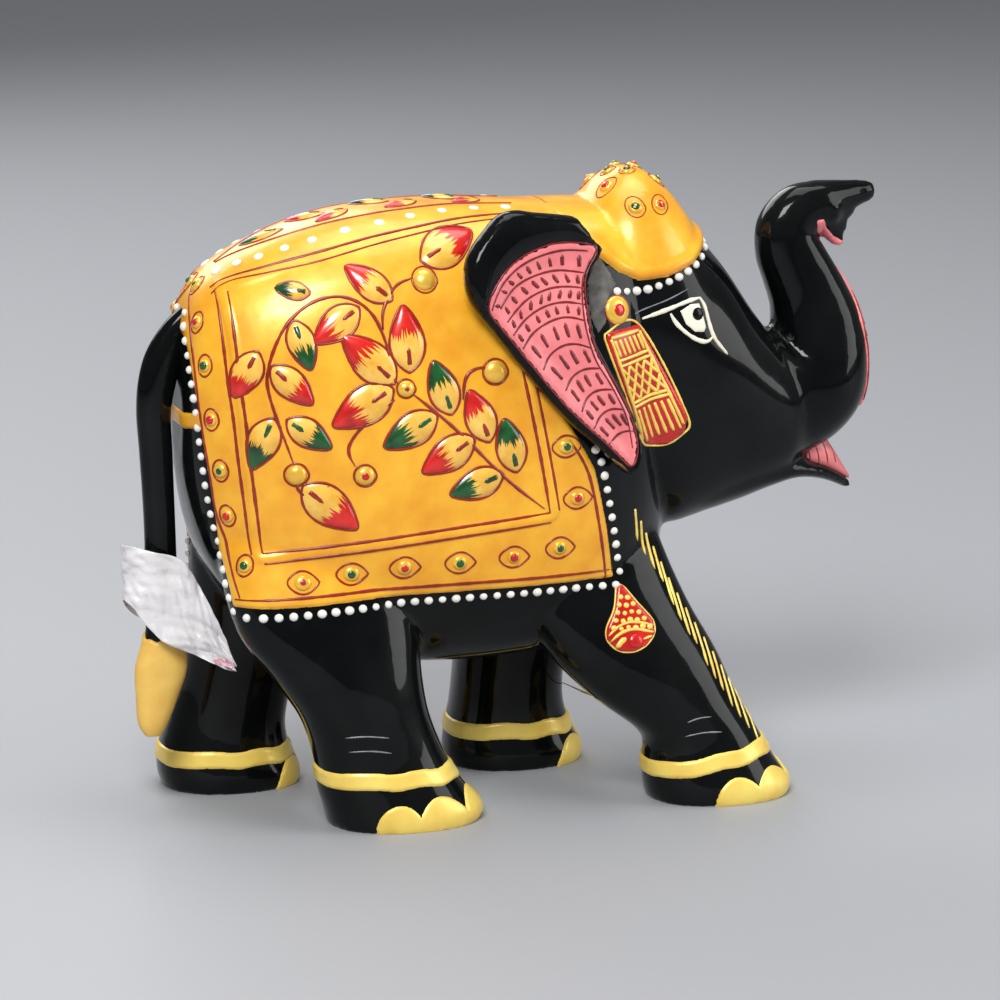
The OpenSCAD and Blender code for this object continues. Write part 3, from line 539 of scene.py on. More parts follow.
# ---------------------------------------------------------------- places on the skin
class Skin:
    """Finds places on the surfaces built so far, in millimetres."""

    def __init__(self, *objects):
        self.trees = []
        for obj in objects:
            self.add(obj)

    def add(self, obj):
        verts, _ = mesh_arrays(obj)
        faces = [tuple(p.vertices) for p in obj.data.polygons]
        self.trees.append(BVHTree.FromPolygons(verts.tolist(), faces))

    def shoot(self, start, way):
        """The first place hit from a start along a way: (position, normal), or None."""
        best = None
        for tree in self.trees:
            spot, normal, _, distance = tree.ray_cast(Vector(start), Vector(way).normalized())
            if spot is not None and (best is None or distance < best[2]):
                best = (np.array(spot), np.array(normal), distance)
        return None if best is None else best[:2]

    def side(self, side, x, z):
        return self.shoot((x, side * 200, z), (0, -side, 0))

    def top(self, x, y):
        return self.shoot((x, y, 400), (0, 0, -1))

    def near(self, x, y, z):
        """The place on the skin nearest to a point."""
        best = None
        for tree in self.trees:
            spot, normal, _, distance = tree.find_nearest(Vector((x, y, z)))
            if best is None or distance < best[2]:
                best = (np.array(spot), np.array(normal), distance)
        return self.shoot(best[0] + best[1] * 6, -best[1])


def resampled(points, spacing, closed=False):
    """A smooth path through control points, with points about a spacing apart."""
    dense = smooth_rows(points, 24 * len(points), closed)
    if closed:
        dense = np.concatenate([dense, dense[:1]])
    steps = np.linalg.norm(np.diff(dense, axis=0), axis=1)
    total = np.concatenate([[0], np.cumsum(steps)])
    count = max(3, int(round(total[-1] / spacing)) + 1)
    at = np.linspace(0, total[-1], count)
    path = np.stack([np.interp(at, total, dense[:, k]) for k in range(dense.shape[1])], 1)
    return path[:-1] if closed else path


def draped(look, path):
    """Positions and evened-out normals of a path on the skin; look finds one place."""
    hits = [look(*p) for p in path]
    hits = [h for h in hits if h is not None]
    if len(hits) < 3:
        return None
    spots = np.array([h[0] for h in hits])
    normals = np.array([h[1] for h in hits])
    for _ in range(4):
        normals[1:-1] = normals[:-2] + normals[2:] + 2 * normals[1:-1]
        normals /= np.linalg.norm(normals, axis=1)[:, None]
        spots[1:-1] = 0.25 * spots[:-2] + 0.25 * spots[2:] + 0.5 * spots[1:-1]
    return spots, normals


def brush_line(spots, normals, width, height, ends=(0.6, 0.6), closed=False):
    """A raised stroke of paint along a path on the skin. Ends taper to these shares of the width."""
    n = len(spots)
    if closed:
        along = np.roll(spots, -1, 0) - np.roll(spots, 1, 0)
    else:
        along = np.gradient(spots, axis=0)
    along /= np.linalg.norm(along, axis=1)[:, None] + 1e-9
    across = np.cross(normals, along)
    across /= np.linalg.norm(across, axis=1)[:, None] + 1e-9
    phase = rng.uniform(0, 10)
    s = np.arange(n)
    wobble = 1 + 0.12 * np.sin(s * 0.55 + phase) + 0.08 * np.sin(s * 1.7 + 2 * phase)
    half = 0.5 * width * wobble
    if not closed:
        share = s / (n - 1)
        half = half * np.minimum(1, ends[0] + (1 - ends[0]) * share * 6)
        half = half * np.minimum(1, ends[1] + (1 - ends[1]) * (1 - share) * 6)
    profile = [(-1, -0.5), (-0.62, 0.72), (0, 1), (0.62, 0.72), (1, -0.5)]
    rings = np.stack([
        spots + across * (half * a)[:, None] + normals * (height * b) for a, b in profile
    ], 1)
    if closed:
        m = len(profile)
        faces = []
        for i in range(n):
            k = (i + 1) % n
            for j in range(m):
                l = (j + 1) % m
                faces.append((i * m + j, i * m + l, k * m + l, k * m + j))
        return rings.reshape(-1, 3), faces
    return loft(rings)


def strokes(name, material, slot, items, nodes=()):
    """One object from many brush lines: (look, control points, width, height, ends, closed)."""
    shapes = []
    for look, points, width, height, ends, closed in items:
        got = draped(look, resampled(points, 0.7, closed))
        if got is not None:
            shapes.append(brush_line(*got, width, height, ends, closed))
    obj = new_object(name, *joined(shapes), material)
    return place(obj, slot, *nodes)


def tangent_frame(normal, hint):
    """Two directions along the skin: the first nearest to a hint."""
    first = np.array(hint, float) - np.dot(hint, normal) * normal
    first /= np.linalg.norm(first)
    return first, np.cross(normal, first)


def dome(spot, normal, radius, height, sink=0.15, rings=5, count=18, stretch=1.0, hint=(1, 0, 0)):
    """A low raised dot of paste on the skin."""
    across, up = tangent_frame(normal, hint)
    layers = []
    for i in range(rings):
        angle = 0.5 * math.pi * i / rings
        r, h = radius * math.cos(angle), height * math.sin(angle)
        turn = np.linspace(0, 2 * math.pi, count, endpoint=False)
        layers.append(
            spot + normal * h + r * (stretch * np.cos(turn)[:, None] * across + np.sin(turn)[:, None] * up)
        )
    base = layers[0] - normal * sink
    peak = np.repeat((spot + normal * height)[None, :], count, 0) + 0.02 * (layers[-1] - spot)
    return loft([base] + layers + [peak])


def dots(name, material, slot, places, nodes=(), jitter=0.0):
    """One object from many domes: (place on the skin, radius, height)."""
    shapes = []
    for hit, radius, height in places:
        if hit is None:
            continue
        spot, normal = hit
        size = 1 + rng.uniform(-jitter, jitter)
        shapes.append(dome(spot, normal, radius * size, height * size, stretch=1 + rng.uniform(0, jitter)))
    obj = new_object(name, *joined(shapes), material)
    return place(obj, slot, *nodes)


# ---------------------------------------------------------------- coats that follow the body
def inside_distance(points, outline):
    """How far 2D points lie inside a closed outline; negative outside."""
    outline = np.asarray(outline, float)
    ends = np.roll(outline, -1, 0)
    best = np.full(len(points), 1e9)
    inside = np.zeros(len(points), bool)
    for a, b in zip(outline, ends):
        edge = b - a
        share = np.clip(((points - a) @ edge) / (edge @ edge), 0, 1)
        best = np.minimum(best, np.linalg.norm(points - (a + share[:, None] * edge), axis=1))
        crosses = (a[1] > points[:, 1]) != (b[1] > points[:, 1])
        if b[1] != a[1]:
            at = a[0] + (points[:, 1] - a[1]) / (b[1] - a[1]) * (b[0] - a[0])
            inside ^= crosses & (points[:, 0] < at)
    return np.where(inside, best, -best)


def coat(name, source, depth, height, material, slot, nodes=(), cuts=1, margin=1.6):
    """A raised coat over part of a surface.

    depth(points) says how far each point lies inside the coat's outline, and height(d) how
    thick it is there; below the outline it dips under the surface, so its edge is clean.
    """
    verts, normals = mesh_arrays(source)
    d = depth(verts)
    faces = [tuple(p.vertices) for p in source.data.polygons]
    kept = [f for f in faces if d[list(f)].max() > -margin]
    used = sorted({i for f in kept for i in f})
    index = {old: new for new, old in enumerate(used)}
    mesh = bpy.data.meshes.new(name)
    mesh.from_pydata((verts[used] * MM).tolist(), [], [tuple(index[i] for i in f) for f in kept])
    bm = bmesh.new()
    bm.from_mesh(mesh)
    for _ in range(cuts):
        bmesh.ops.subdivide_edges(bm, edges=bm.edges, cuts=1, use_grid_fill=True)
    bm.to_mesh(mesh)
    bm.free()
    obj = bpy.data.objects.new(name, mesh)
    bpy.context.scene.collection.objects.link(obj)
    verts, normals = mesh_arrays(obj)
    d = depth(verts)
    lift = np.where(d < 0, np.maximum(d, -0.5) * 0.8, height(np.maximum(d, 0)))
    set_vertices(obj, verts + normals * lift[:, None])
    mesh.polygons.foreach_set("use_smooth", [True] * len(mesh.polygons))
    mesh.materials.append(material)
    return place(obj, slot, *nodes)


def even_thickness(thickness, edge=0.7):
    """A coat's thickness, rounded off towards its edge."""
    return lambda d: thickness * np.sqrt(np.clip(1 - (1 - np.clip(d / edge, 0, 1)) ** 2, 0, 1))


FLANK_INNER = 8  # mm from the middle plane: paint on one flank ends here


def side_depth(outline, sides=(RIGHT, LEFT), inner=0.0):
    """Depth inside an outline seen from the side, on one flank or both."""
    def depth(points):
        d = inside_distance(points[:, [0, 2]], outline)
        if len(sides) == 1:
            d = np.minimum(d, sides[0] * points[:, 1] - inner)
        return d
    return depth


# ---------------------------------------------------------------- what the skin is looked at from
def from_side(skin, side):
    return lambda x, z: skin.side(side, x, z)


def from_top(skin, side):
    return lambda x, y: skin.top(x, side * y)


def from_near(skin, side):
    return lambda x, y, z: skin.near(x, side * y, z)


def on_both_sides(skin, view, lines, width, height, ends=(0.5, 0.5), closed=False):
    """Brush lines on both flanks from one list of drawn paths."""
    return [
        (view(skin, side), points, width, height, ends, closed)
        for side, _ in SIDES for points in lines
    ]


def ring_points(middle, half_x, half_z, pointed=False, count=14):
    """A closed outline round a boss: an oval, or an eye with points fore and aft."""
    points = []
    for i in range(count):
        turn = 2 * math.pi * i / count
        x, z = math.cos(turn), math.sin(turn)
        if pointed:
            z *= 1 - 0.55 * x * x
        points.append((middle[0] + half_x * x, middle[1] + half_z * z))
    return points


# ---------------------------------------------------------------- saddle cloth
REAR_EDGE = [(-81.2, 124), (-80.3, 109), (-78.6, 91.5), (-76.2, 74)]
HEM_REAR, HEM_FRONT = (-73.4, 54.5), (19.3, 56.5)
FRONT_EDGE = [(16.6, 70), (13.2, 84), (5.6, 97), (4, 108), (5, 126), (12, 150)]
CLOTH_OUTLINE = [(-81.5, 150)] + REAR_EDGE + [HEM_REAR, (-40, 55.9), HEM_FRONT] + FRONT_EDGE
CLOTH_LIFT = 0.8
RUMP_BARE_HALF = 13
FIELD_REAR, FIELD_HEM, FIELD_FRONT, FIELD_TOP = (-72.4, 128.8), (-67.3, 67.6), (1.4, 74.6), (-6, 112)
FIELD_OUTLINE = [
    FIELD_REAR, FIELD_HEM, FIELD_FRONT, FIELD_TOP, (-4.7, 143.4), (-18, 142.2), (-36, 139.5), (-55, 135),
]
RIDGE_WIDTH = 2.4


def cloth_depth(points):
    """Depth inside the cloth; it leaves the underside of the rump bare."""
    d = inside_distance(points[:, [0, 2]], CLOTH_OUTLINE)
    low = points[:, 2] < 68
    return np.where(low, np.minimum(d, np.abs(points[:, 1]) - RUMP_BARE_HALF), d)


def build_cloth(body, paints):
    cloth = coat("painted_cloth", body, cloth_depth, even_thickness(CLOTH_LIFT, 0.9), paints["gold"],
                 "gold_paint", ("saddle_cloth", "back_runner"))
    verts, normals = mesh_arrays(cloth)
    outside_field = -inside_distance(verts[:, [0, 2]], FIELD_OUTLINE)
    on_flank = np.clip((136 - verts[:, 2]) / 5, 0, 1) * (np.abs(verts[:, 1]) > 6)
    ridge = np.exp(-((outside_field - RIDGE_WIDTH / 2) / 1.05) ** 4) * on_flank
    set_vertices(cloth, verts + normals * (0.4 * ridge * (cloth_depth(verts) > 0.5))[:, None])
    return cloth


# Bosses in the border: place and colour of the middle dot; every outline is eye-shaped
BORDER_BOSSES = [
    ((-58.6, 60.8), "red"), ((-46.8, 62.2), "green"), ((-34.2, 63.2), "red"),
    ((-20.7, 63.6), "green"), ((-7.4, 64.2), "red"), ((4.2, 65.6), "green"),
    ((5.4, 90.4), "green"), ((8.4, 77.6), "red"),
]
# Round bosses down the rear border, where the rump curves away: place and colour
REAR_BOSSES = [
    ((-76.6, 3, 128.4), "green"), ((-78.3, 10.5, 121), "red"), ((-77.9, 15.2, 111.6), "green"),
    ((-77.1, 17.2, 99.1), "red"), ((-75.5, 18.8, 87.1), "green"), ((-74, 19, 76.3), "red"),
    ((-70.6, 21.9, 64.4), "green"),
]
REAR_EDGE_LINE = [
    (-78, 2, 126.4), (-79.3, 7.6, 121), (-79, 11.8, 111.5), (-78.2, 14.2, 98.6), (-76.8, 15.8, 87),
    (-75.4, 16.4, 76), (-73, 19.6, 64), (-71.2, 22, 56.8),
]
# Leaves on the flank: tip, base and colour
FLANK_LEAVES = [
    (-62.8, 130, -54.9, 129, "green"), (-46.4, 135, -36, 127, "red"), (-13.5, 141.3, -27.9, 135.2, "red"),
    (-55.4, 117.5, -44.1, 125.7, "red"), (-56, 111, -59.3, 122.9, "green"),
    (-48.8, 119.7, -36.5, 108, "red"), (-33.7, 126.3, -32.9, 110.2, "red"),
    (-27.4, 113.2, -22.9, 99.8, "green"), (-73.4, 104.5, -67.7, 115.8, "red"),
    (-55.6, 103.2, -64.9, 112.4, "red"), (-51.8, 97.9, -37.1, 106.9, "red"),
    (-69.9, 87.6, -64.9, 100.3, "green"), (-51.4, 92.7, -61.9, 99.9, "green"),
    (-39.9, 92.5, -26.6, 100, "green"), (-30.6, 86, -17.6, 94, "red"), (-18.9, 105.8, -13.7, 92.8, "red"),
    (-10.4, 98.6, -7, 85.1, "green"), (-23.9, 80.3, -10.5, 84.9, "green"),
    (-45.3, 73.1, -58.5, 84.1, "red"),
]
# Leaves along the back: tip x, tip y, base x, base y and colour
BACK_LEAVES = [
    (-66, 1.5, -56, -2.5, "green"), (-54, 4.5, -45, -1, "red"), (-49, -6.5, -40, -2, "red"),
    (-38, 5, -29, 0.5, "green"), (-32, -6, -23, -2, "red"), (-20, 4.5, -12, -1, "green"),
    (-15, -5.5, -7, -1.5, "red"),
]
VINES = [
    [(-59.9, 87.8), (-65.3, 104.3), (-65.6, 111.9), (-61.4, 121.3), (-54.6, 126.9), (-47.1, 128),
     (-41.3, 124.3), (-38.1, 116.5), (-37.9, 110.2), (-34, 106.5)],
    [(-34, 106.5), (-26.1, 99.9), (-19.6, 93.8), (-9.7, 83.6), (-0.1, 75.7)],
    [(-36.8, 104), (-43.5, 99), (-47.9, 93), (-46.3, 88.6)],
    [(-38.8, 120.4), (-38.4, 124.9), (-34.9, 130.1), (-30.6, 131.7)],
    [(-20.2, 103.3), (-19.3, 108.7), (-16, 110.6), (-13.1, 109.9)],
    [(-59.9, 88), (-59.6, 83), (-56, 81.5), (-52.5, 84)],
]
# Gold buds on the vines: place, radius and the colour of a spot in the middle
BUDS = [
    ((-27.8, 131.2), 3.1, None), ((-34, 106.5), 2.4, "line_red"), ((-12.2, 109.4), 3.2, None),
    ((-59.9, 86.8), 2.9, None), ((-44, 86.2), 2.8, "red"),
]
RUNNER_LINES = [
    [(-72, 0.6), (-69.3, 1.6), (-57.7, 6.8), (-43.5, 9), (-28, 8.4), (-14, 6.8), (0, 5.6)],
    [(-75.4, 9.2), (-72.4, 10.7), (-62.4, 15.1), (-48.4, 17.7), (-30.9, 17), (-14, 14.4), (0, 12)],
    [(-75.6, 10.8), (-72.7, 12.2), (-62.7, 16.8), (-48.8, 19.6), (-31.4, 18.9), (-14.5, 16.3), (0, 13.8)],
]
RUNNER_DOTS = [
    (-73, 5.6), (-68.7, 8.4), (-64, 10.8), (-58.1, 12.5), (-51.7, 13.6), (-43.7, 13.9), (-35.2, 13.6),
    (-27.2, 12.4), (-18.9, 11), (-10.6, 9.8), (-2.4, 8.8),
]


def leaf_half_width(s, size):
    """Half width of a leaf at a share of the way from its base to its tip."""
    return 0.30 * size * np.sin(math.pi * s ** 0.86) ** 0.8 * (1 - 0.25 * s)


def leaf_grid(look, tip, base, lift=1.15, steps=18, across=9):
    """A domed leaf on the skin: points, faces, and each point's place (share along, share across)."""
    tip, base = np.array(tip, float), np.array(base, float)
    along = tip - base
    size = np.linalg.norm(along)
    aside = np.array([-along[1], along[0]]) / size
    verts, places = [], []
    for s in np.linspace(0.0, 1.0, steps):
        half = max(float(leaf_half_width(np.array(s), size)), 0.05)
        for t in np.linspace(-1, 1, across):
            spot = base + along * s + aside * (half * t)
            hit = look(*spot)
            if hit is None:
                return None
            edge = (1 - t * t) ** 0.6 * (math.sin(math.pi * s) ** 0.45 if 0 < s < 1 else 0)
            verts.append(hit[0] + hit[1] * (lift * edge - 0.2))
            places.append((s, t))
    faces = [
        (i * across + j, i * across + j + 1, (i + 1) * across + j + 1, (i + 1) * across + j)
        for i in range(steps - 1) for j in range(across - 1)
    ]
    return np.array(verts), faces, places


def leaf_outline(tip, base, count=9):
    tip, base = np.array(tip, float), np.array(base, float)
    along = tip - base
    size = np.linalg.norm(along)
    aside = np.array([-along[1], along[0]]) / size
    up = [base + along * s + aside * leaf_half_width(np.array(s), size)
          for s in np.linspace(0.02, 0.98, count)]
    down = [base + along * s - aside * leaf_half_width(np.array(s), size)
            for s in np.linspace(0.98, 0.02, count)]
    return [tuple(p) for p in up] + [tuple(tip)] + [tuple(p) for p in down] + [tuple(base)]


def build_leaves(skin, paints):
    """Leaves on both flanks and along the back, with outlines and a small mark at each base."""
    jobs = [(from_side(skin, side), leaf) for side, _ in SIDES for leaf in FLANK_LEAVES]
    jobs += [(lambda x, y: skin.top(x, y), leaf) for leaf in BACK_LEAVES]
    outlines, marks = [], {"red": [], "green": []}
    for color in ("red", "green"):
        shapes, values = [], []
        for look, (tip_x, tip_z, base_x, base_z, leaf_color) in jobs:
            if leaf_color != color:
                continue
            tip, base = (tip_x, tip_z), (base_x, base_z)
            got = leaf_grid(look, tip, base)
            if got is None:
                continue
            seed = rng.uniform(0, 10)
            shapes.append(got[:2])
            values += [(s, t, seed) for s, t in got[2]]
            outlines.append((look, leaf_outline(tip, base), 0.78, 0.26, (1, 1), True))
            mark = [tuple(np.array(base) + (np.array(tip) - np.array(base)) * s) for s in (0.12, 0.22, 0.36)]
            marks[color].append((look, mark, seed))
        obj = new_object("leaves_" + color, *joined(shapes), paints["leaf_" + color])
        attribute = obj.data.attributes.new("leaf_place", "FLOAT_VECTOR", "POINT")
        attribute.data.foreach_set("vector", np.array(values, float).ravel())
        place(obj, "red_paint" if color == "red" else None, "cloth_leaves")
    strokes("leaf_outlines", paints["line_red"], "red_paint", outlines)
    leaves = Skin(*[o for o in bpy.data.objects if o.name.startswith("leaves_")])
    for color, items in marks.items():
        shapes = []
        for look, mark, _ in items:
            hits = [look(*p) for p in mark]
            ways = [h[1] for h in hits if h is not None]
            tops = [leaves.shoot(h[0] + h[1] * 5, -h[1]) for h in hits if h is not None]
            if len(tops) == 3 and all(top is not None for top in tops):
                spots = np.array([top[0] for top in tops])
                spots = np.stack([np.interp(np.linspace(0, 2, 7), [0, 1, 2], spots[:, k])
                                  for k in range(3)], 1)
                shapes.append(brush_line(spots, np.repeat([ways[1]], 7, 0), 1.3, 0.18, (0.9, 0.1)))
        obj = new_object("leaf_marks_" + color, *joined(shapes),
                         paints["line_red" if color == "red" else "green"])
        place(obj, "red_paint" if color == "red" else None)


def inset_line(points, aside):
    """A drawn line moved sideways, to the left of its own direction."""
    points = np.array(points, float)
    along = np.gradient(points, axis=0)
    along /= np.linalg.norm(along, axis=1)[:, None]
    return [tuple(p) for p in points + aside * np.stack([-along[:, 1], along[:, 0]], 1)]


def build_cloth_painting(skin, paints):
    edge_hem = inset_line([HEM_REAR, (-40, 55.9), HEM_FRONT], 2.0)
    edge_front = inset_line([HEM_FRONT, (16.6, 70), (13.2, 84), (8, 93)], 2.0)
    frame_lines = []
    for aside in (0, -RIDGE_WIDTH):
        rear = inset_line([FIELD_REAR, (-72.4, 120), (-71.9, 109), (-70.9, 99.5), (-69.8, 87.6), FIELD_HEM],
                          aside)
        hem = inset_line([FIELD_HEM, (-33, 71.2), FIELD_FRONT], aside)
        front = inset_line([FIELD_FRONT, (-1.5, 90), FIELD_TOP], aside)
        frame_lines += [rear, hem, front]
    lines = on_both_sides(skin, from_side, [edge_hem, edge_front] + frame_lines, 0.95, 0.26)
    lines += on_both_sides(skin, from_near, [REAR_EDGE_LINE], 0.95, 0.26)
    lines += on_both_sides(skin, from_top, RUNNER_LINES[:2], 0.95, 0.26)
    lines += on_both_sides(skin, from_top, RUNNER_LINES[2:], 0.6, 0.22)
    strokes("border_lines", paints["line_red"], "red_paint", lines)
    strokes("vines", paints["line_red"], "red_paint",
            on_both_sides(skin, from_side, VINES, 1.0, 0.32, (0.4, 0.3)))

    bosses, reds, greens, rings = [], [], [], []
    for side, _ in SIDES:
        look = from_side(skin, side)
        for spot, color in BORDER_BOSSES:
            hit = look(*spot)
            if hit is None:
                continue
            bosses.append((hit, 1.75, 0.85))
            dot = (hit[0] + hit[1] * 0.55, hit[1])
            (reds if color == "red" else greens).append((dot, 0.95, 0.55))
            rings.append((look, ring_points(spot, 4.0, 2.85, True), 0.62, 0.22, (1, 1), True))
        for spot, color in REAR_BOSSES:
            hit = from_near(skin, side)(*spot)
            across, up = tangent_frame(hit[1], (0, side, 0))
            outline = [tuple(hit[0] + 2.2 * math.cos(a) * across + 2.9 * math.sin(a) * up)
                       for a in np.linspace(0, 2 * math.pi, 12, endpoint=False)]
            rings.append((skin.near, outline, 0.62, 0.22, (1, 1), True))
            bosses.append((hit, 1.6, 0.85))
            (reds if color == "red" else greens).append(((hit[0] + hit[1] * 0.55, hit[1]), 0.95, 0.55))
    dots("border_bosses_gold", paints["bright_gold"], "bright_gold", bosses, ("border_bosses",), 0.1)
    strokes("boss_outlines", paints["line_red"], "red_paint", rings)

    bud_domes, bud_rings, bud_spots = [], [], []
    for side, _ in SIDES:
        look = from_side(skin, side)
        for spot, radius, color in BUDS:
            hit = look(*spot)
            bud_domes.append((hit, radius * 0.84, 1.35))
            bud_rings.append((look, ring_points(spot, radius, radius), 0.6, 0.24, (1, 1), True))
            if color == "red":
                reds.append(((hit[0] + hit[1] * 0.95, hit[1]), 1.05, 0.55))
            elif color:
                bud_spots.append(((hit[0] + hit[1] * 1.0, hit[1]), 0.7, 0.5))
    dots("vine_buds_gold", paints["bright_gold"], "bright_gold", bud_domes, ("vine_buds",), 0.06)
    strokes("bud_outlines", paints["line_red"], "red_paint", bud_rings)
    dots("bud_spots", paints["line_red"], "red_paint", bud_spots)
    dots("boss_spots_red", paints["red"], "red_paint", reds, (), 0.08)
    dots("boss_spots_green", paints["green"], None, greens, (), 0.08)

    white = [(skin.top(x, side * y), 1.25, 0.4) for side, _ in SIDES for x, y in RUNNER_DOTS]
    dots("runner_dots_white", paints["white"], "white_paint", white, ("runner_dots",), 0.12)


BEAD_RADIUS, BEAD_PITCH = 0.98, 3.42
BEAD_LINES = [
    [(-71.2, 52.2), (-40, 53.9), (19.8, 54.6)],
    [(21.2, 57.5), (18.5, 70.4), (15.3, 84.6), (13.4, 88.8)],
]


REAR_BEADS = [
    (-80.2, 4, 122.4), (-80.4, 8, 113), (-79.6, 11.4, 103), (-78.4, 13, 92), (-77, 13.8, 82),
    (-75.6, 14.6, 70), (-74.8, 17.4, 60), (-73.6, 20, 53),
]


def build_beads(skin, paints):
    places = []
    for side, _ in SIDES:
        for x, y, z in resampled(REAR_BEADS, BEAD_PITCH):
            places.append((skin.near(x, side * y, z), BEAD_RADIUS, 0.85))
        for line in BEAD_LINES:
            for x, z in resampled(line, BEAD_PITCH):
                places.append((skin.side(side, x, z), BEAD_RADIUS, 0.85))
    dots("cloth_beads_white", paints["white"], "white_paint", places, ("cloth_beads",), 0.12)
    cap = []
    for side, _ in SIDES:
        for x, z in resampled([(20.6, 125.7), (27.6, 125.2), (34.6, 126.9), (40.2, 129), (44.6, 131.2),
                               (47.6, 132.9)], 2.95):
            cap.append((skin.side(side, x, z), 0.98, 0.9))
    for y in (-6, -3, 0, 3, 6):
        cap.append((skin.shoot((62, y, 133.6), (-1, 0, 0)), 0.98, 0.9))
    dots("cap_beads_white", paints["white"], "white_paint", cap, ("cap_beads",), 0.12)


# ---------------------------------------------------------------- head
CAP_OUTLINE = [
    (6, 165), (6, 145), (11, 141), (16, 134.6), (21.7, 130.2), (27, 127.8), (34, 128.2), (41.6, 130.6),
    (46.8, 134), (50, 137.5), (52, 165),
]


CAP_BOSSES = [((28.2, 144.3), "green", 2.2), ((34.6, 144.5), "red", 2.1)]
CAP_TOP_BOSSES = [
    ((23.8, 6.4), "red", 2.3), ((29.6, 4.6), "green", 1.9), ((36.6, 5.8), "green", 1.9),
    ((32.8, -0.2), "red", 2.0), ((26.4, -0.2), "green", 1.8),
]
ROSETTE = (20.2, 121.4)
PENDANT = [(17.1, 116.4), (26.4, 117.3), (39.2, 94), (38.4, 90), (34.4, 87.2), (29.6, 87.4), (26.4, 90.2),
           (17, 113)]


def build_cap(body, paints):
    """A gold cap whose lower edge is a soft roll; towards the neck it meets the cloth without one."""
    cap = coat("gold_head_cap", body, side_depth(CAP_OUTLINE), even_thickness(CLOTH_LIFT, 0.9),
               paints["gold"], "gold_paint", ("head_cap",))
    verts, normals = mesh_arrays(cap)
    d = inside_distance(verts[:, [0, 2]], CAP_OUTLINE)
    roll = 0.75 * np.exp(-((d - 1.6) / 1.2) ** 2) * np.clip((verts[:, 0] - 15) / 4, 0, 1)
    set_vertices(cap, verts + normals * roll[:, None])
    return cap


def build_head_painting(skin, paints):
    gold, reds, greens, rings, small = [], [], [], [], []
    for side, _ in SIDES:
        for bosses, view in ((CAP_BOSSES, from_side), (CAP_TOP_BOSSES, from_top)):
            look = view(skin, side)
            for spot, color, radius in bosses:
                hit = look(*spot)
                if hit is None or (spot[1] < 0 and side == LEFT):
                    continue
                gold.append((hit, radius * 0.78, 0.8))
                gems = reds if color == "red" else greens
                gems.append(((hit[0] + hit[1] * 0.5, hit[1]), radius * 0.52, 0.5))
                small.append(((hit[0] + hit[1] * 0.9, hit[1]), radius * 0.17, 0.3))
                rings.append((look, ring_points(spot, radius * 1.12, radius * 1.12), 0.42, 0.2, (1, 1), True))
    dots("cap_bosses_gold", paints["bright_gold"], "bright_gold", gold, ("cap_bosses",), 0.06)
    dots("cap_spots_red", paints["red"], "red_paint", reds)
    dots("cap_spots_green", paints["green"], None, greens)
    dots("cap_points_gold", paints["bright_gold"], "bright_gold", small)
    strokes("cap_outlines", paints["line_red"], "red_paint", rings)

    rosettes, hearts, circles = [], [], []
    for side, _ in SIDES:
        look = from_side(skin, side)
        hit = look(*ROSETTE)
        rosettes.append((hit, 3.5, 1.1))
        hearts.append(((hit[0] + hit[1] * 0.85, hit[1]), 1.6, 0.5))
        circles.append((look, ring_points(ROSETTE, 3.4, 3.5), 0.6, 0.25, (1, 1), True))
    dots("rosettes_gold", paints["bright_gold"], "bright_gold", rosettes, ("cheek_rosettes",))
    dots("rosette_hearts", paints["red"], "red_paint", hearts)
    strokes("rosette_rims", paints["line_red"], "red_paint", circles)


def pendant_place(u, v):
    """A place on the cheek pendant, u across from rear to front and v down."""
    rear = np.array((17.6, 115.4)) * (1 - v) + np.array((27.6, 88.6)) * v
    front = np.array((26.0, 116.4)) * (1 - v) + np.array((38.4, 91.6)) * v
    return tuple(rear * (1 - u) + front * u)


def pendant_lines():
    """Gold bars, a lattice and a scalloped foot, as short drawn lines."""
    lines = []
    for i in range(6):
        u = 0.1 + 0.16 * i
        lines.append([pendant_place(u, 0.04), pendant_place(u, 0.11), pendant_place(u, 0.19)])
        lines.append([pendant_place(u, 0.70), pendant_place(u, 0.84), pendant_place(u, 1.0)])
    for v in (0.01, 0.22, 0.27, 0.62, 0.66):
        lines.append([pendant_place(0.02, v), pendant_place(0.5, v), pendant_place(0.98, v)])
    for i in range(-2, 5):
        for lean in (1, -1):
            ends = []
            for v in (0.29, 0.45, 0.61):
                u = 0.25 * i + 0.5 * (v - 0.29) / 0.32
                ends.append((u if lean > 0 else 1 - u, v))
            kept = [pendant_place(u, v) for u, v in ends if -0.01 <= u <= 1.01]
            if len(kept) >= 2:
                lines.append(kept)
    for u in (0.0, 1.0):
        lines.append([pendant_place(u, 0.02), pendant_place(u, 0.5), pendant_place(u, 0.97)])
    return lines


def tassel_dots():
    """Rows of gold dots that make a lattice on the tassel's upper part: place and radius."""
    spots = []
    for row in range(5):
        z = 52 - 1.75 * row
        rear, front = 20.3 - 0.36 * (54.4 - z), 21.3 + 0.7 * (54.4 - z)
        count = 2 + row
        spots += [((rear + (front - rear) * (i + 0.5) / count, z - 0.25 * (i % 2)), 0.62)
                  for i in range(count)]
    return spots


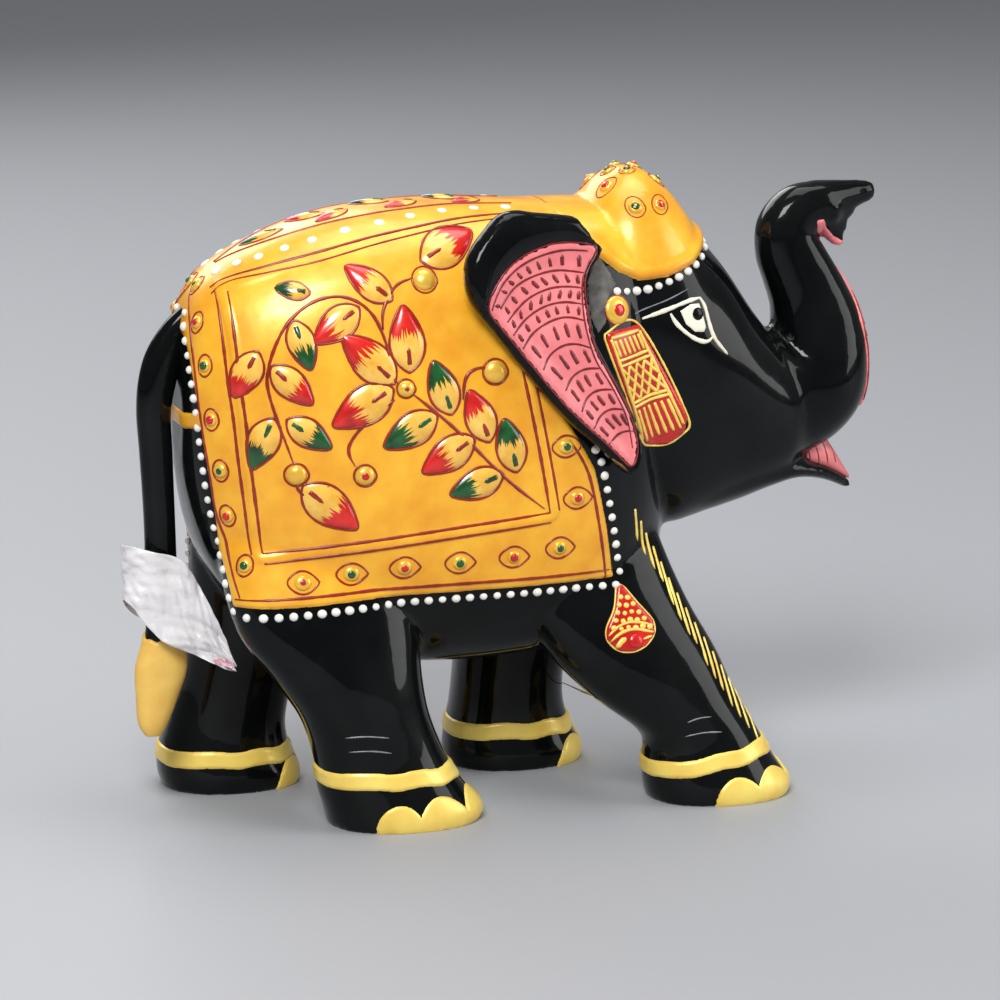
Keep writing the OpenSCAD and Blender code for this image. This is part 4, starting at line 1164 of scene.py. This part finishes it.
TASSEL_ARCS = [
    ([(16.4, 43.2), (19, 45.4), (22.8, 46.2), (28, 45)], 0.8),
    ([(16.8, 41.8), (19.4, 43.8), (23, 44.5), (27.8, 43.4)], 0.9),
    ([(18.2, 40.4), (19.6, 42), (20.6, 42.6)], 1.5),
    ([(25, 42), (26.4, 42.4), (27.2, 42.6)], 0.8),
]
TASSEL = [(19.9, 54.4), (21.4, 54.4), (24.6, 50.2), (28.2, 46), (28.3, 42.8), (25.6, 40.2), (22.4, 39),
          (18.8, 39.4), (16, 42.2), (16.2, 45), (18.6, 49.4)]
EYE_LINES = [
    [(27.4, 118.5), (30.6, 119.4), (33.6, 120.3), (39.7, 122.1), (42.8, 122.5)],
    [(42.6, 122.6), (44, 120.7), (44.9, 116.7), (46.2, 112.8), (48.2, 110.3), (49.8, 108.4)],
    [(34.6, 119.4), (35.8, 117.2), (38.8, 114.3), (41.9, 112.4), (44.7, 111.8), (45.8, 113)],
]
BROW_LINE = [(25.4, 119.9), (29, 121.1), (34, 122.7), (39.6, 124.9)]
EYE_WHITE = [(37.2, 119.8), (40, 121.2), (42.4, 121.2), (43.3, 118.6), (44, 115.4), (43.4, 114.4),
             (41, 114.6), (38.6, 116.6)]
PUPIL = (41.8, 118.8)


# Outline, seen from the side, of a paler grey, matte patch on the neck beside the ear.
GREY_NECK_PATCH = [(13.4, 137), (17.4, 133.6), (20.6, 127.4), (18, 124.4), (17, 119), (14.6, 116.5), (12, 122)]


def build_face(body, skin, paints):
    for side, name in SIDES:
        # A thin paler grey, matte coat on the black neck beside the ear.
        coat("scuffed_neck_" + name, body, side_depth(GREY_NECK_PATCH, (side,), FLANK_INNER), even_thickness(0.08),
             paints["grey_patch"], "black_lacquer")
        pendant = coat("cheek_pendant_" + name + "_red", body, side_depth(PENDANT, (side,), FLANK_INNER),
                       even_thickness(0.7), paints["red"], "red_paint", ("cheek_pendant_" + name,))
        tassel = coat("tassel_" + name + "_red", body, side_depth(TASSEL, (side,), FLANK_INNER),
                      even_thickness(0.8), paints["red"], "red_paint", ("tassel_" + name,))
        near = Skin(pendant, tassel, body)
        look = from_side(near, side)
        items = [(look, line, 0.95, 0.3, (0.8, 0.8), False) for line in pendant_lines()]
        items += [(look, line, width, 0.3, (0.5, 0.5), False) for line, width in TASSEL_ARCS]
        items.append((look, PENDANT, 0.7, 0.35, (1, 1), True))
        items.append((look, TASSEL, 0.6, 0.3, (1, 1), True))
        strokes("gold_pattern_" + name, paints["pale_gold"], "pale_gold", items)
        lattice = [(look(*spot), radius, 0.35) for spot, radius in tassel_dots()]
        dots("tassel_lattice_" + name, paints["pale_gold"], "pale_gold", lattice, (), 0.15)
        dots("tassel_spot_" + name, paints["red"], "red_paint", [(look(23, 41.7), 1.75, 0.6)])
        eye = [(look, line, 1.25, 0.3, (0.45, 0.45), False) for line in EYE_LINES]
        strokes("eye_lines_" + name, paints["cream"], "white_paint", eye, ("eye_" + name,))
        strokes("brow_line_" + name, paints["silver"], "white_paint",
                [(look, BROW_LINE, 0.4, 0.15, (0.4, 0.4), False)])
        coat("eye_white_" + name, body, side_depth(EYE_WHITE, (side,), FLANK_INNER),
             even_thickness(0.22, 0.5), paints["cream"], "white_paint", cuts=2)
        pupil = look(*PUPIL)
        dots("eye_pupil_" + name, paints["lacquer"], "black_lacquer",
             [((pupil[0] + pupil[1] * 0.12, pupil[1]), 1.6, 0.42)])


# ---------------------------------------------------------------- ears
EAR_PIVOT = (15, 130)
EAR_SEAT = np.array((12.8, -25.6, 131.6))
EAR_LEAN_X, EAR_LEAN_Z = math.radians(-8), math.radians(9.5)
LEFT_EAR_DROP, LEFT_EAR_TURN = 6.5, math.radians(3)
EAR_OUTLINE = [
    (14.8, 137.4), (12.4, 140.6), (10.6, 142.8), (5, 143.9), (-0.7, 144.7), (-4.4, 145.4), (-7.6, 145),
    (-10.4, 143.6), (-13.8, 140.4), (-16.6, 137.2), (-18.3, 134), (-18.8, 130), (-18.2, 126.2),
    (-16.4, 122.6), (-12, 117), (-4.8, 107.6), (2.5, 98.6), (8, 92.8), (14, 87.4), (20.2, 81.4),
    (22.8, 81.2), (24.3, 84.6), (24.3, 89.6), (22.8, 95.2), (20.5, 100.6), (17.5, 106.2), (14.8, 111),
    (13.6, 115.6), (13.1, 120.2), (12.8, 125.6), (13.7, 129), (16.6, 133.6), (17, 135.4),
]
EAR_LINING = [
    (13.1, 136.2), (15.6, 135), (12.1, 129.6), (11.3, 125.8), (11.7, 120.2), (12.2, 115.4), (13.5, 110.6),
    (16.3, 105.4), (19.2, 100), (21.5, 94.6), (22.8, 89.2), (22.6, 85.2), (21.6, 82.6), (20.2, 82.9),
    (14.9, 88.3), (8.9, 93.8), (3.4, 99.6), (-3.8, 108.5), (-11, 117.8), (-14.6, 122.6), (-13.6, 125.6),
    (-10.6, 129.9), (-7.3, 132.9), (-2.9, 135.2), (2.5, 136.8), (7.8, 137),
]
EAR_ARCS = [
    [(-13.6, 122.4), (-11, 127.6), (-6.5, 131.6), (-1, 134), (6, 135.2), (12.6, 134.6)],
    [(-11.2, 122.7), (-7.2, 127.3), (-1.7, 129.7), (4.7, 130.6), (11.8, 129.4)],
    [(-9.7, 119.4), (-4.2, 124.2), (1.7, 126.4), (7, 126.6), (11.1, 125.8)],
    [(-8.4, 116.2), (-4.3, 120), (0.7, 122.4), (6, 123), (11, 122)],
    [(-6.1, 112.9), (-2.6, 116.6), (2.3, 118.9), (6.6, 119.4), (10.8, 118.2)],
    [(-1, 107.5), (0.9, 110.6), (4.5, 112.7), (8.3, 112.9), (12, 111.6)],
    [(4.6, 102.1), (6.7, 105.2), (10.2, 106.8), (14.2, 106.6)],
    [(8.5, 96.7), (10, 99.7), (13.1, 101.5), (17.4, 101.3)],
    [(11.4, 92.5), (13.5, 95.4), (16.5, 96.8), (19.7, 96.3)],
    [(15.1, 88.4), (17.7, 90.6), (20.4, 91.3), (22, 90.9)],
]


def ear_spin(points, side):
    """Points in the ear's flat frame (x, z, height out of the ear) as places in space."""
    points = np.asarray(points, float)
    turn = LEFT_EAR_TURN if side == LEFT else 0
    ahead, above = points[:, 0] - EAR_PIVOT[0], points[:, 1] - EAR_PIVOT[1]
    local = np.stack([
        ahead * math.cos(turn) - above * math.sin(turn), -points[:, 2],
        ahead * math.sin(turn) + above * math.cos(turn),
    ], 1)
    y = local[:, 1] * math.cos(EAR_LEAN_X) - local[:, 2] * math.sin(EAR_LEAN_X)
    z = local[:, 1] * math.sin(EAR_LEAN_X) + local[:, 2] * math.cos(EAR_LEAN_X)
    x = local[:, 0] * math.cos(EAR_LEAN_Z) - y * math.sin(EAR_LEAN_Z)
    y = local[:, 0] * math.sin(EAR_LEAN_Z) + y * math.cos(EAR_LEAN_Z)
    placed = np.stack([x, y, z], 1) + EAR_SEAT
    if side == LEFT:
        placed[:, 1] *= -1
        placed[:, 2] -= LEFT_EAR_DROP
    return placed


def flat_mesh(outline, spacing):
    """Points and triangles that fill a smooth closed outline evenly, and the count on its edge."""
    edge = resampled(outline, spacing, closed=True)
    low, high = edge.min(0), edge.max(0)
    columns, rows = (np.arange(low[k], high[k], spacing) for k in (0, 1))
    grid = np.stack(np.meshgrid(columns, rows, indexing="ij"), -1).reshape(-1, 2)
    grid[:, 0] += 0.5 * spacing * ((np.round((grid[:, 1] - low[1]) / spacing)) % 2)
    inner = grid[inside_distance(grid, edge) > 0.55 * spacing]
    points = np.concatenate([edge, inner])
    count = len(edge)
    ring = [(i, (i + 1) % count) for i in range(count)]
    out = geometry.delaunay_2d_cdt([Vector(p) for p in points], ring, [], 1, 1e-6)
    verts = np.array([tuple(v) for v in out[0]])
    return verts, [tuple(f) for f in out[2]], count


def ear_front(points):
    """Height of the ear's outer face: a rolled rim round a shallow hollow."""
    out = np.maximum(inside_distance(points, EAR_EDGE), 0)
    lining = inside_distance(points, LINING_EDGE)
    share = np.clip(out / np.maximum(out + np.abs(lining), 1e-6), 0, 1)
    bulge = np.sqrt(np.clip(1 - (2 * share - 1) ** 2, 0, 1))
    rim = 4.1 + 2.3 * bulge * np.clip((out + np.abs(lining)) / 3, 0.35, 1)
    hollow = 4.9 - 0.7 * np.clip(lining / 5, 0, 1)
    blend = np.clip(0.5 + lining / 1.0, 0, 1)
    return rim * (1 - blend) + hollow * blend


EAR_EDGE = resampled(EAR_OUTLINE, 1.2, closed=True)
LINING_EDGE = resampled(EAR_LINING, 1.2, closed=True)


def build_ear(side, name, paints):
    verts, faces, edge = flat_mesh(EAR_OUTLINE, 0.75)
    n = len(verts)
    depth = np.maximum(inside_distance(verts, EAR_EDGE), 0)
    bevel = 1.0 * (1 - np.sqrt(np.clip(1 - (1 - np.clip(depth / 1.2, 0, 1)) ** 2, 0, 1)))
    front = ear_front(verts) - bevel
    root = np.clip((verts[:, 0] - 2) / 7, 0, 1) * np.clip((depth - 1.2) / 3, 0, 1)
    back = 0.6 + bevel - 13 * root
    points = np.concatenate([np.column_stack([verts, front]), np.column_stack([verts, back])])
    faces = list(faces) + [tuple(i + n for i in face[::-1]) for face in faces]
    faces += [(i, (i + 1) % edge, n + (i + 1) % edge, n + i) for i in range(edge)]
    ear = new_object("lacquered_ear_" + name, ear_spin(points, side), faces, paints["lacquer"])
    place(ear, "black_lacquer", "ear_" + name)

    verts, faces, _ = flat_mesh(EAR_LINING, 0.75)
    d = inside_distance(verts, LINING_EDGE)
    lift = ear_front(verts) + 0.3 * np.clip(d / 0.6, -1, 1)
    lining = new_object("ear_lining_" + name + "_pink", ear_spin(np.column_stack([verts, lift]), side),
                        faces, paints["pink"])
    place(lining, "pink_paint", "ear_lining_" + name)

    near = Skin(ear, lining)

    def look(x, z):
        start, end = ear_spin([(x, z, 40), (x, z, 0)], side)
        return near.shoot(start, end - start)

    items = [(look, arc, 0.62, 0.2, (0.6, 0.6), False) for arc in EAR_ARCS]
    items.append((look, [tuple(p) for p in resampled(EAR_LINING, 3.5, closed=True)], 0.6, 0.25, (1, 1), True))
    inner = [(15, 134.6), (11.4, 129.6), (10.5, 125.4), (10.6, 119), (11.6, 113.2), (13.2, 108.2),
             (16, 103.6), (18.2, 99.4), (20, 95.4), (20.9, 91.6), (21.4, 87)]
    items.append((look, inner, 0.5, 0.2, (0.7, 0.5), False))
    for upper, lower in zip(EAR_ARCS[:-1], EAR_ARCS[1:]):
        high, low = smooth_rows(upper, 40), smooth_rows(lower, 40)
        reach = np.linalg.norm(np.diff(low, axis=0), axis=1).sum()
        count = max(4, int(reach / 2.7))
        for i in range(count):
            k = int(39 * (i + 0.7) / (count + 0.4))
            a, b = high[k], low[k]
            mark = [tuple(a + (b - a) * s) for s in (0.2, 0.45, 0.74)]
            items.append((look, mark, 1.2, 0.2, (0.08, 0.8), False))
    strokes("ear_pattern_" + name, paints["deep_red"], "red_paint", items)
    bare = [(-17.6, 122.2), (-12.6, 115.6), (-5.4, 106.4), (2, 97.4), (7.6, 91.6), (13.6, 86.2), (19.6, 81)]
    edge_points = resampled(bare, 1.0)
    inward = np.array([(p[0] + 0.75, p[1] + 0.65) for p in edge_points])
    line = [look(*p) for p in inward]
    spots = np.array([h[0] for h in line if h is not None])
    normals = np.array([h[1] for h in line if h is not None])
    obj = new_object("ear_bare_edge_" + name, *brush_line(spots, normals, 0.8, 0.18, (0.3, 0.3)),
                     paints["dark_gold"])
    place(obj, "pale_gold")
    return ear


# ---------------------------------------------------------------- mouth and trunk
def build_mouth(body, skin, paints):
    rows = [(66, 76, 82.6, 6.2), (72, 76, 83.6, 6.5), (78, 75, 84.2, 6.5), (82, 73.8, 83, 6),
            (85, 73, 79.6, 4.6), (87.6, 72, 75.6, 2.8), (89.8, 71.2, 72.4, 1.1)]
    tongue = new_object("pink_tongue", *loft([section_x(r[0], r[1], r[2], r[3], 2.3, 28)
                                              for r in smooth_rows(rows, 30)]),
                        paints["pink"])
    place(tongue, "pink_paint", "tongue")
    near = Skin(tongue)
    items = []
    for side, _ in SIDES:
        look = from_side(near, side)
        for x in (76.5, 78.8, 81.1, 83.4, 85.4):
            line = [(x - 0.6, 83), (x + 0.4, 80), (x + 1.2, 76.5)]
            items.append((look, line, 0.55, 0.2, (0.5, 0.3), False))
    strokes("tongue_stripes", paints["line_red"], "red_paint", items)

    strip = [(82, 125), (83.2, 121), (86.2, 113), (88.6, 105), (89.4, 97), (87.4, 91.4), (100, 88),
             (100, 125)]

    def strip_depth(points):
        return np.minimum(inside_distance(points[:, [0, 2]], strip),
                          6.3 - 0.4 * np.clip(points[:, 2] - 112, 0, None) - np.abs(points[:, 1]))

    lining = coat("trunk_lining_pink", body, strip_depth, even_thickness(0.5), paints["pink"], "pink_paint",
                  ("trunk_lining",))
    near = Skin(lining, body)

    def from_front(y, z):
        hit = near.shoot((150, y, z), (-1, 0, 0))
        return hit if hit is not None and hit[0][0] > 78 else None

    lines = []
    for side, _ in SIDES:
        for z in range(94, 113, 3):
            rib = [(side * 1.4, z + 0.5), (side * 3.4, z), (side * 5.2, z - 1.2)]
            lines.append((from_front, rib, 0.5, 0.18, (0.8, 0.3), False))
        rim = [(side * (6.1 - 0.4 * max(0, z - 112)), z) for z in range(92, 122, 3)]
        lines.append((from_front, rim, 0.6, 0.22, (0.5, 0.5), False))
    strokes("trunk_lining_lines", paints["line_red"], "red_paint", lines)

    lip = [(78.6, 137.4), (79.4, 134.4), (81.6, 132.6), (83.6, 129.4), (88, 128.2), (87.4, 131),
           (84.4, 132.6), (82, 135), (80.6, 137.4)]

    def lip_depth(points):
        return np.minimum(inside_distance(points[:, [0, 2]], lip), 5.6 - np.abs(points[:, 1]))

    coat("trunk_tip_pink", body, lip_depth, even_thickness(0.35, 0.5), paints["pink"], "pink_paint")


# ---------------------------------------------------------------- feet
# Middle of each foot, height of its anklet band there, and the band's rise per mm of x
FEET = {
    "rear_right": ((-36, -23), 12.6, 0.0, 17.5),
    "rear_left": ((-65.5, 23), 8.6, 0.0, 16.5),
    "front_right": ((44.5, -23), 10.8, 0.16, 17),
    "front_left": ((8, 23), 10, 0.0, 16.5),
}
ANKLET_HALF = 1.95
# Nails round each foot, as angles from straight ahead towards the inner side
NAIL_ANGLES = {
    "rear_right": (-96, -56, -17, 22), "rear_left": (-90, -50, -10, 28),
    "front_right": (-76, -38, 0, 36), "front_left": (-84, -44, -4, 32),
}
NAIL_HALF_ANGLE = 23
NAIL_HEIGHTS = (6.8, 8.0, 8.4, 7)


def build_feet(body, paints):
    for name, (middle, height, rise, reach) in FEET.items():
        side = RIGHT if name.endswith("right") else LEFT

        def near_foot(points):
            away = np.hypot(points[:, 0] - middle[0], points[:, 1] - middle[1])
            return 24 - away

        def band_depth(points):
            wave = 0.25 * np.sin(points[:, 0] * 0.5 + points[:, 1] * 0.3)
            z = points[:, 2] - height - rise * (points[:, 0] - middle[0]) + wave
            return np.minimum(ANKLET_HALF - np.abs(z), near_foot(points))

        def nail_depth(points):
            turn = np.degrees(np.arctan2((points[:, 1] - middle[1]) * -side, points[:, 0] - middle[0]))
            lobes = [
                tall * np.sqrt(np.clip(1 - ((turn - at) / NAIL_HALF_ANGLE) ** 2, 0, 1))
                for at, tall in zip(NAIL_ANGLES[name], NAIL_HEIGHTS)
            ]
            top = np.max(lobes, axis=0)
            return np.minimum(top - points[:, 2], near_foot(points))

        coat("anklet_" + name + "_gold", body, band_depth, even_thickness(0.5, 0.6), paints["pale_gold"],
             "pale_gold", ("anklet_" + name,))
        coat("toenails_" + name + "_gold", body, nail_depth, even_thickness(0.45, 0.6), paints["pale_gold"],
             "pale_gold", ("toenails_" + name,))


KNEE_LINES = [
    [(-49.9, 23.6), (-45, 23.9), (-39.6, 23.2)], [(-49, 20.1), (-44, 20.3), (-39, 19.5)],
    [(35.6, 21.0), (38.6, 21.9), (41.8, 21.9)], [(35.2, 17.4), (39.5, 18.2), (44.4, 18)],
]
KNEE_LINES_FAR = [
    [(-66, 23.6), (-61, 23.9), (-57, 23.2)], [(-66, 20.1), (-61, 20.3), (-56.6, 19.5)],
    [(3, 22), (7, 22.4), (12, 22)], [(3, 18.8), (8, 19), (12.6, 18.6)],
]
FRINGE = [(24.2, 71.5), (30.3, 61.3), (34.5, 51.7), (41.1, 39.6), (47.2, 29.4), (52.7, 21.6)]
FRINGE_FAR = [(24.2, 71), (26, 62), (27, 52), (26.5, 42), (24.5, 33), (21, 27)]
FRINGE_PITCH, FRINGE_LENGTH = 4.2, 9.2
FRINGE_WAY = {RIGHT: (0.16, -0.98), LEFT: (-0.05, -1)}


def build_leg_painting(skin, paints):
    knees = []
    for side, lines in ((RIGHT, KNEE_LINES), (LEFT, KNEE_LINES_FAR)):
        knees += [(from_side(skin, side), line, 0.45, 0.16, (0.4, 0.4), False) for line in lines]
    strokes("knee_lines", paints["silver"], "white_paint", knees)

    items = []
    for side, path in ((RIGHT, FRINGE), (LEFT, FRINGE_FAR)):
        way = np.array(FRINGE_WAY[side])
        for x, z in resampled(path, FRINGE_PITCH):
            reach = FRINGE_LENGTH + rng.uniform(-1, 1)
            start = np.array((x + 1.0, z + 1.0))
            line = [tuple(start + way * reach * s) for s in (0, 0.5, 1)]
            items.append((from_side(skin, side), line, 0.95, 0.28, (0.8, 0.15), False))
    strokes("chest_fringe_gold", paints["pale_gold"], "pale_gold", items, ("chest_fringe",))


# ---------------------------------------------------------------- tail
TAIL_ROWS = [
    (19.5, -88.6, 1.7, 1.4), (22.5, -88.5, 3.3, 2.4), (29, -87.4, 4.8, 2.9), (35.5, -86.4, 5.9, 3.2),
    (42, -85.8, 4.8, 3.2), (48, -85.8, 4, 3.2), (56, -86, 3.9, 3.2), (72, -86.3, 3.8, 3.25),
    (88, -86.9, 4, 3.25), (98, -87.3, 4.2, 3.3), (106, -86.2, 4.7, 3.2), (113, -84, 4.8, 3),
    (119.5, -81, 3.4, 2.6), (123.6, -77.6, 2.2, 2),
]
TUFT_TOP = 43


def build_tail(paints):
    rings = []
    for z, x, half_width, half_thick in smooth_rows(TAIL_ROWS, 110):
        ring = superellipse(half_width, half_thick, 2.1, 36)
        rings.append(np.stack([x + ring[:, 0], ring[:, 1], np.full(36, z)], 1))
    tail = new_object("lacquered_tail", *loft(rings), paints["lacquer"])
    place(tail, "black_lacquer", "tail")

    def tuft_depth(points):
        wave = 1.2 * np.sin(points[:, 0] * 1.1 + 1) + 0.8 * np.sin(points[:, 1] * 1.7)
        return TUFT_TOP + wave - points[:, 2]

    coat("gold_tuft", tail, tuft_depth, even_thickness(0.5, 0.8), paints["tuft_gold"], "gold_paint",
         ("tail_tuft",))
    return tail


def build_strap(body, paints):
    def strap_depth(points):
        lean = points[:, 2] - 98 - 0.6 * (points[:, 0] + 80)
        return np.minimum(1.8 - np.abs(lean), -77.2 - points[:, 0])

    coat("crupper_strap_gold", body, strap_depth, even_thickness(0.55, 0.6), paints["gold"], "gold_paint",
         ("crupper_strap",))


WRAPPER_TOP = [
    (-84, 5.4, 61), (-90, 5.3, 63.5), (-94.4, 2.6, 66.2), (-94.8, -2.6, 66.8), (-89, -5.4, 65.4),
    (-83, -5.8, 63.6), (-79, -6, 58.2), (-74, -6, 47.5), (-69.6, -5.7, 37),
]
WRAPPER_LOW = [
    (-84, 5.4, 46), (-90, 5.3, 47), (-94.2, 2.6, 51), (-94.8, -2.6, 53), (-91, -5.2, 47.5),
    (-87, -5.7, 43.4), (-81.5, -6, 40.6), (-75.5, -6, 37.6), (-70, -5.7, 34.8),
]


def build_wrapper(paints):
    """A scrap of film folded round the tail with a loose flap, crumpled all over."""
    columns, rows = 110, 44
    top, low = resampled(WRAPPER_TOP, 0.6), resampled(WRAPPER_LOW, 0.6)
    u = np.linspace(0, 1, columns)
    top = np.stack([np.interp(u, np.linspace(0, 1, len(top)), top[:, k]) for k in range(3)], 1)
    low = np.stack([np.interp(u, np.linspace(0, 1, len(low)), low[:, k]) for k in range(3)], 1)
    v = np.linspace(0, 1, rows)[:, None, None]
    grid = top[None] * (1 - v) + low[None] * v
    along = np.gradient(grid, axis=1)
    down = np.gradient(grid, axis=0)
    out = np.cross(along, down)
    out /= np.linalg.norm(out, axis=2)[..., None] + 1e-9
    crumple = np.zeros((rows, columns))
    for sizes, depth in ((0.16, 0.34), (0.42, 0.10)):
        for _ in range(9):
            a, b, phase = rng.uniform(-sizes, sizes), rng.uniform(-sizes, sizes), rng.uniform(0, 6.3)
            wave = np.sin(a * np.arange(columns)[None] + b * np.arange(rows)[:, None] + phase)
            crumple += (1 - 2 * np.abs(wave)) * rng.uniform(0.4, 1) * depth
    fade = 0.4 + 0.6 * np.abs(u - 0.38)[None] / 0.62
    grid = grid + out * (crumple * fade * 1.5)[..., None]
    grid[..., 0] = np.maximum(grid[..., 0], -95.6)
    faces = [
        (i * columns + j, i * columns + j + 1, (i + 1) * columns + j + 1, (i + 1) * columns + j)
        for i in range(rows - 1) for j in range(columns - 1)
    ]
    film_piece = new_object("tail_film", grid.reshape(-1, 3), faces, paints["film"])
    solidify = film_piece.modifiers.new("thickness", "SOLIDIFY")
    solidify.thickness = 0.12 * MM
    place(film_piece, "clear_film", "tail_wrapper")
    reach = float(np.linalg.norm(np.diff(grid[rows // 2], axis=0), axis=1).sum()) * MM


# ---------------------------------------------------------------- floor and assembly
def add_floor():
    mesh = bpy.data.meshes.new("floor")
    mesh.from_pydata([(-6, -6, 0), (6, -6, 0), (6, 6, 0), (-6, 6, 0)], [], [(0, 1, 2, 3)])
    material, node = shader("pale_floor", (0.36, 0.37, 0.39), 0.6)
    add_bump(material, node, add_noise(material, 0.05, 3), 0.05, 0.05)
    mesh.materials.append(material)
    floor = bpy.data.objects.new("floor", mesh)
    bpy.context.scene.collection.objects.link(floor)


def main():
    paints = make_materials()
    add_studio()
    add_floor()
    body = place(build_body(paints["lacquer"]), "black_lacquer", "carved_body")
    cloth = build_cloth(body, paints)
    cap = build_cap(body, paints)
    strap_skin = Skin(body, cloth, cap)
    build_strap(body, paints)
    build_leaves(strap_skin, paints)
    build_cloth_painting(strap_skin, paints)
    build_beads(strap_skin, paints)
    build_head_painting(strap_skin, paints)
    build_face(body, strap_skin, paints)
    for side, name in SIDES:
        build_ear(side, name, paints)
    build_mouth(body, strap_skin, paints)
    build_feet(body, paints)
    build_leg_painting(strap_skin, paints)
    build_tail(paints)
    build_wrapper(paints)


main()
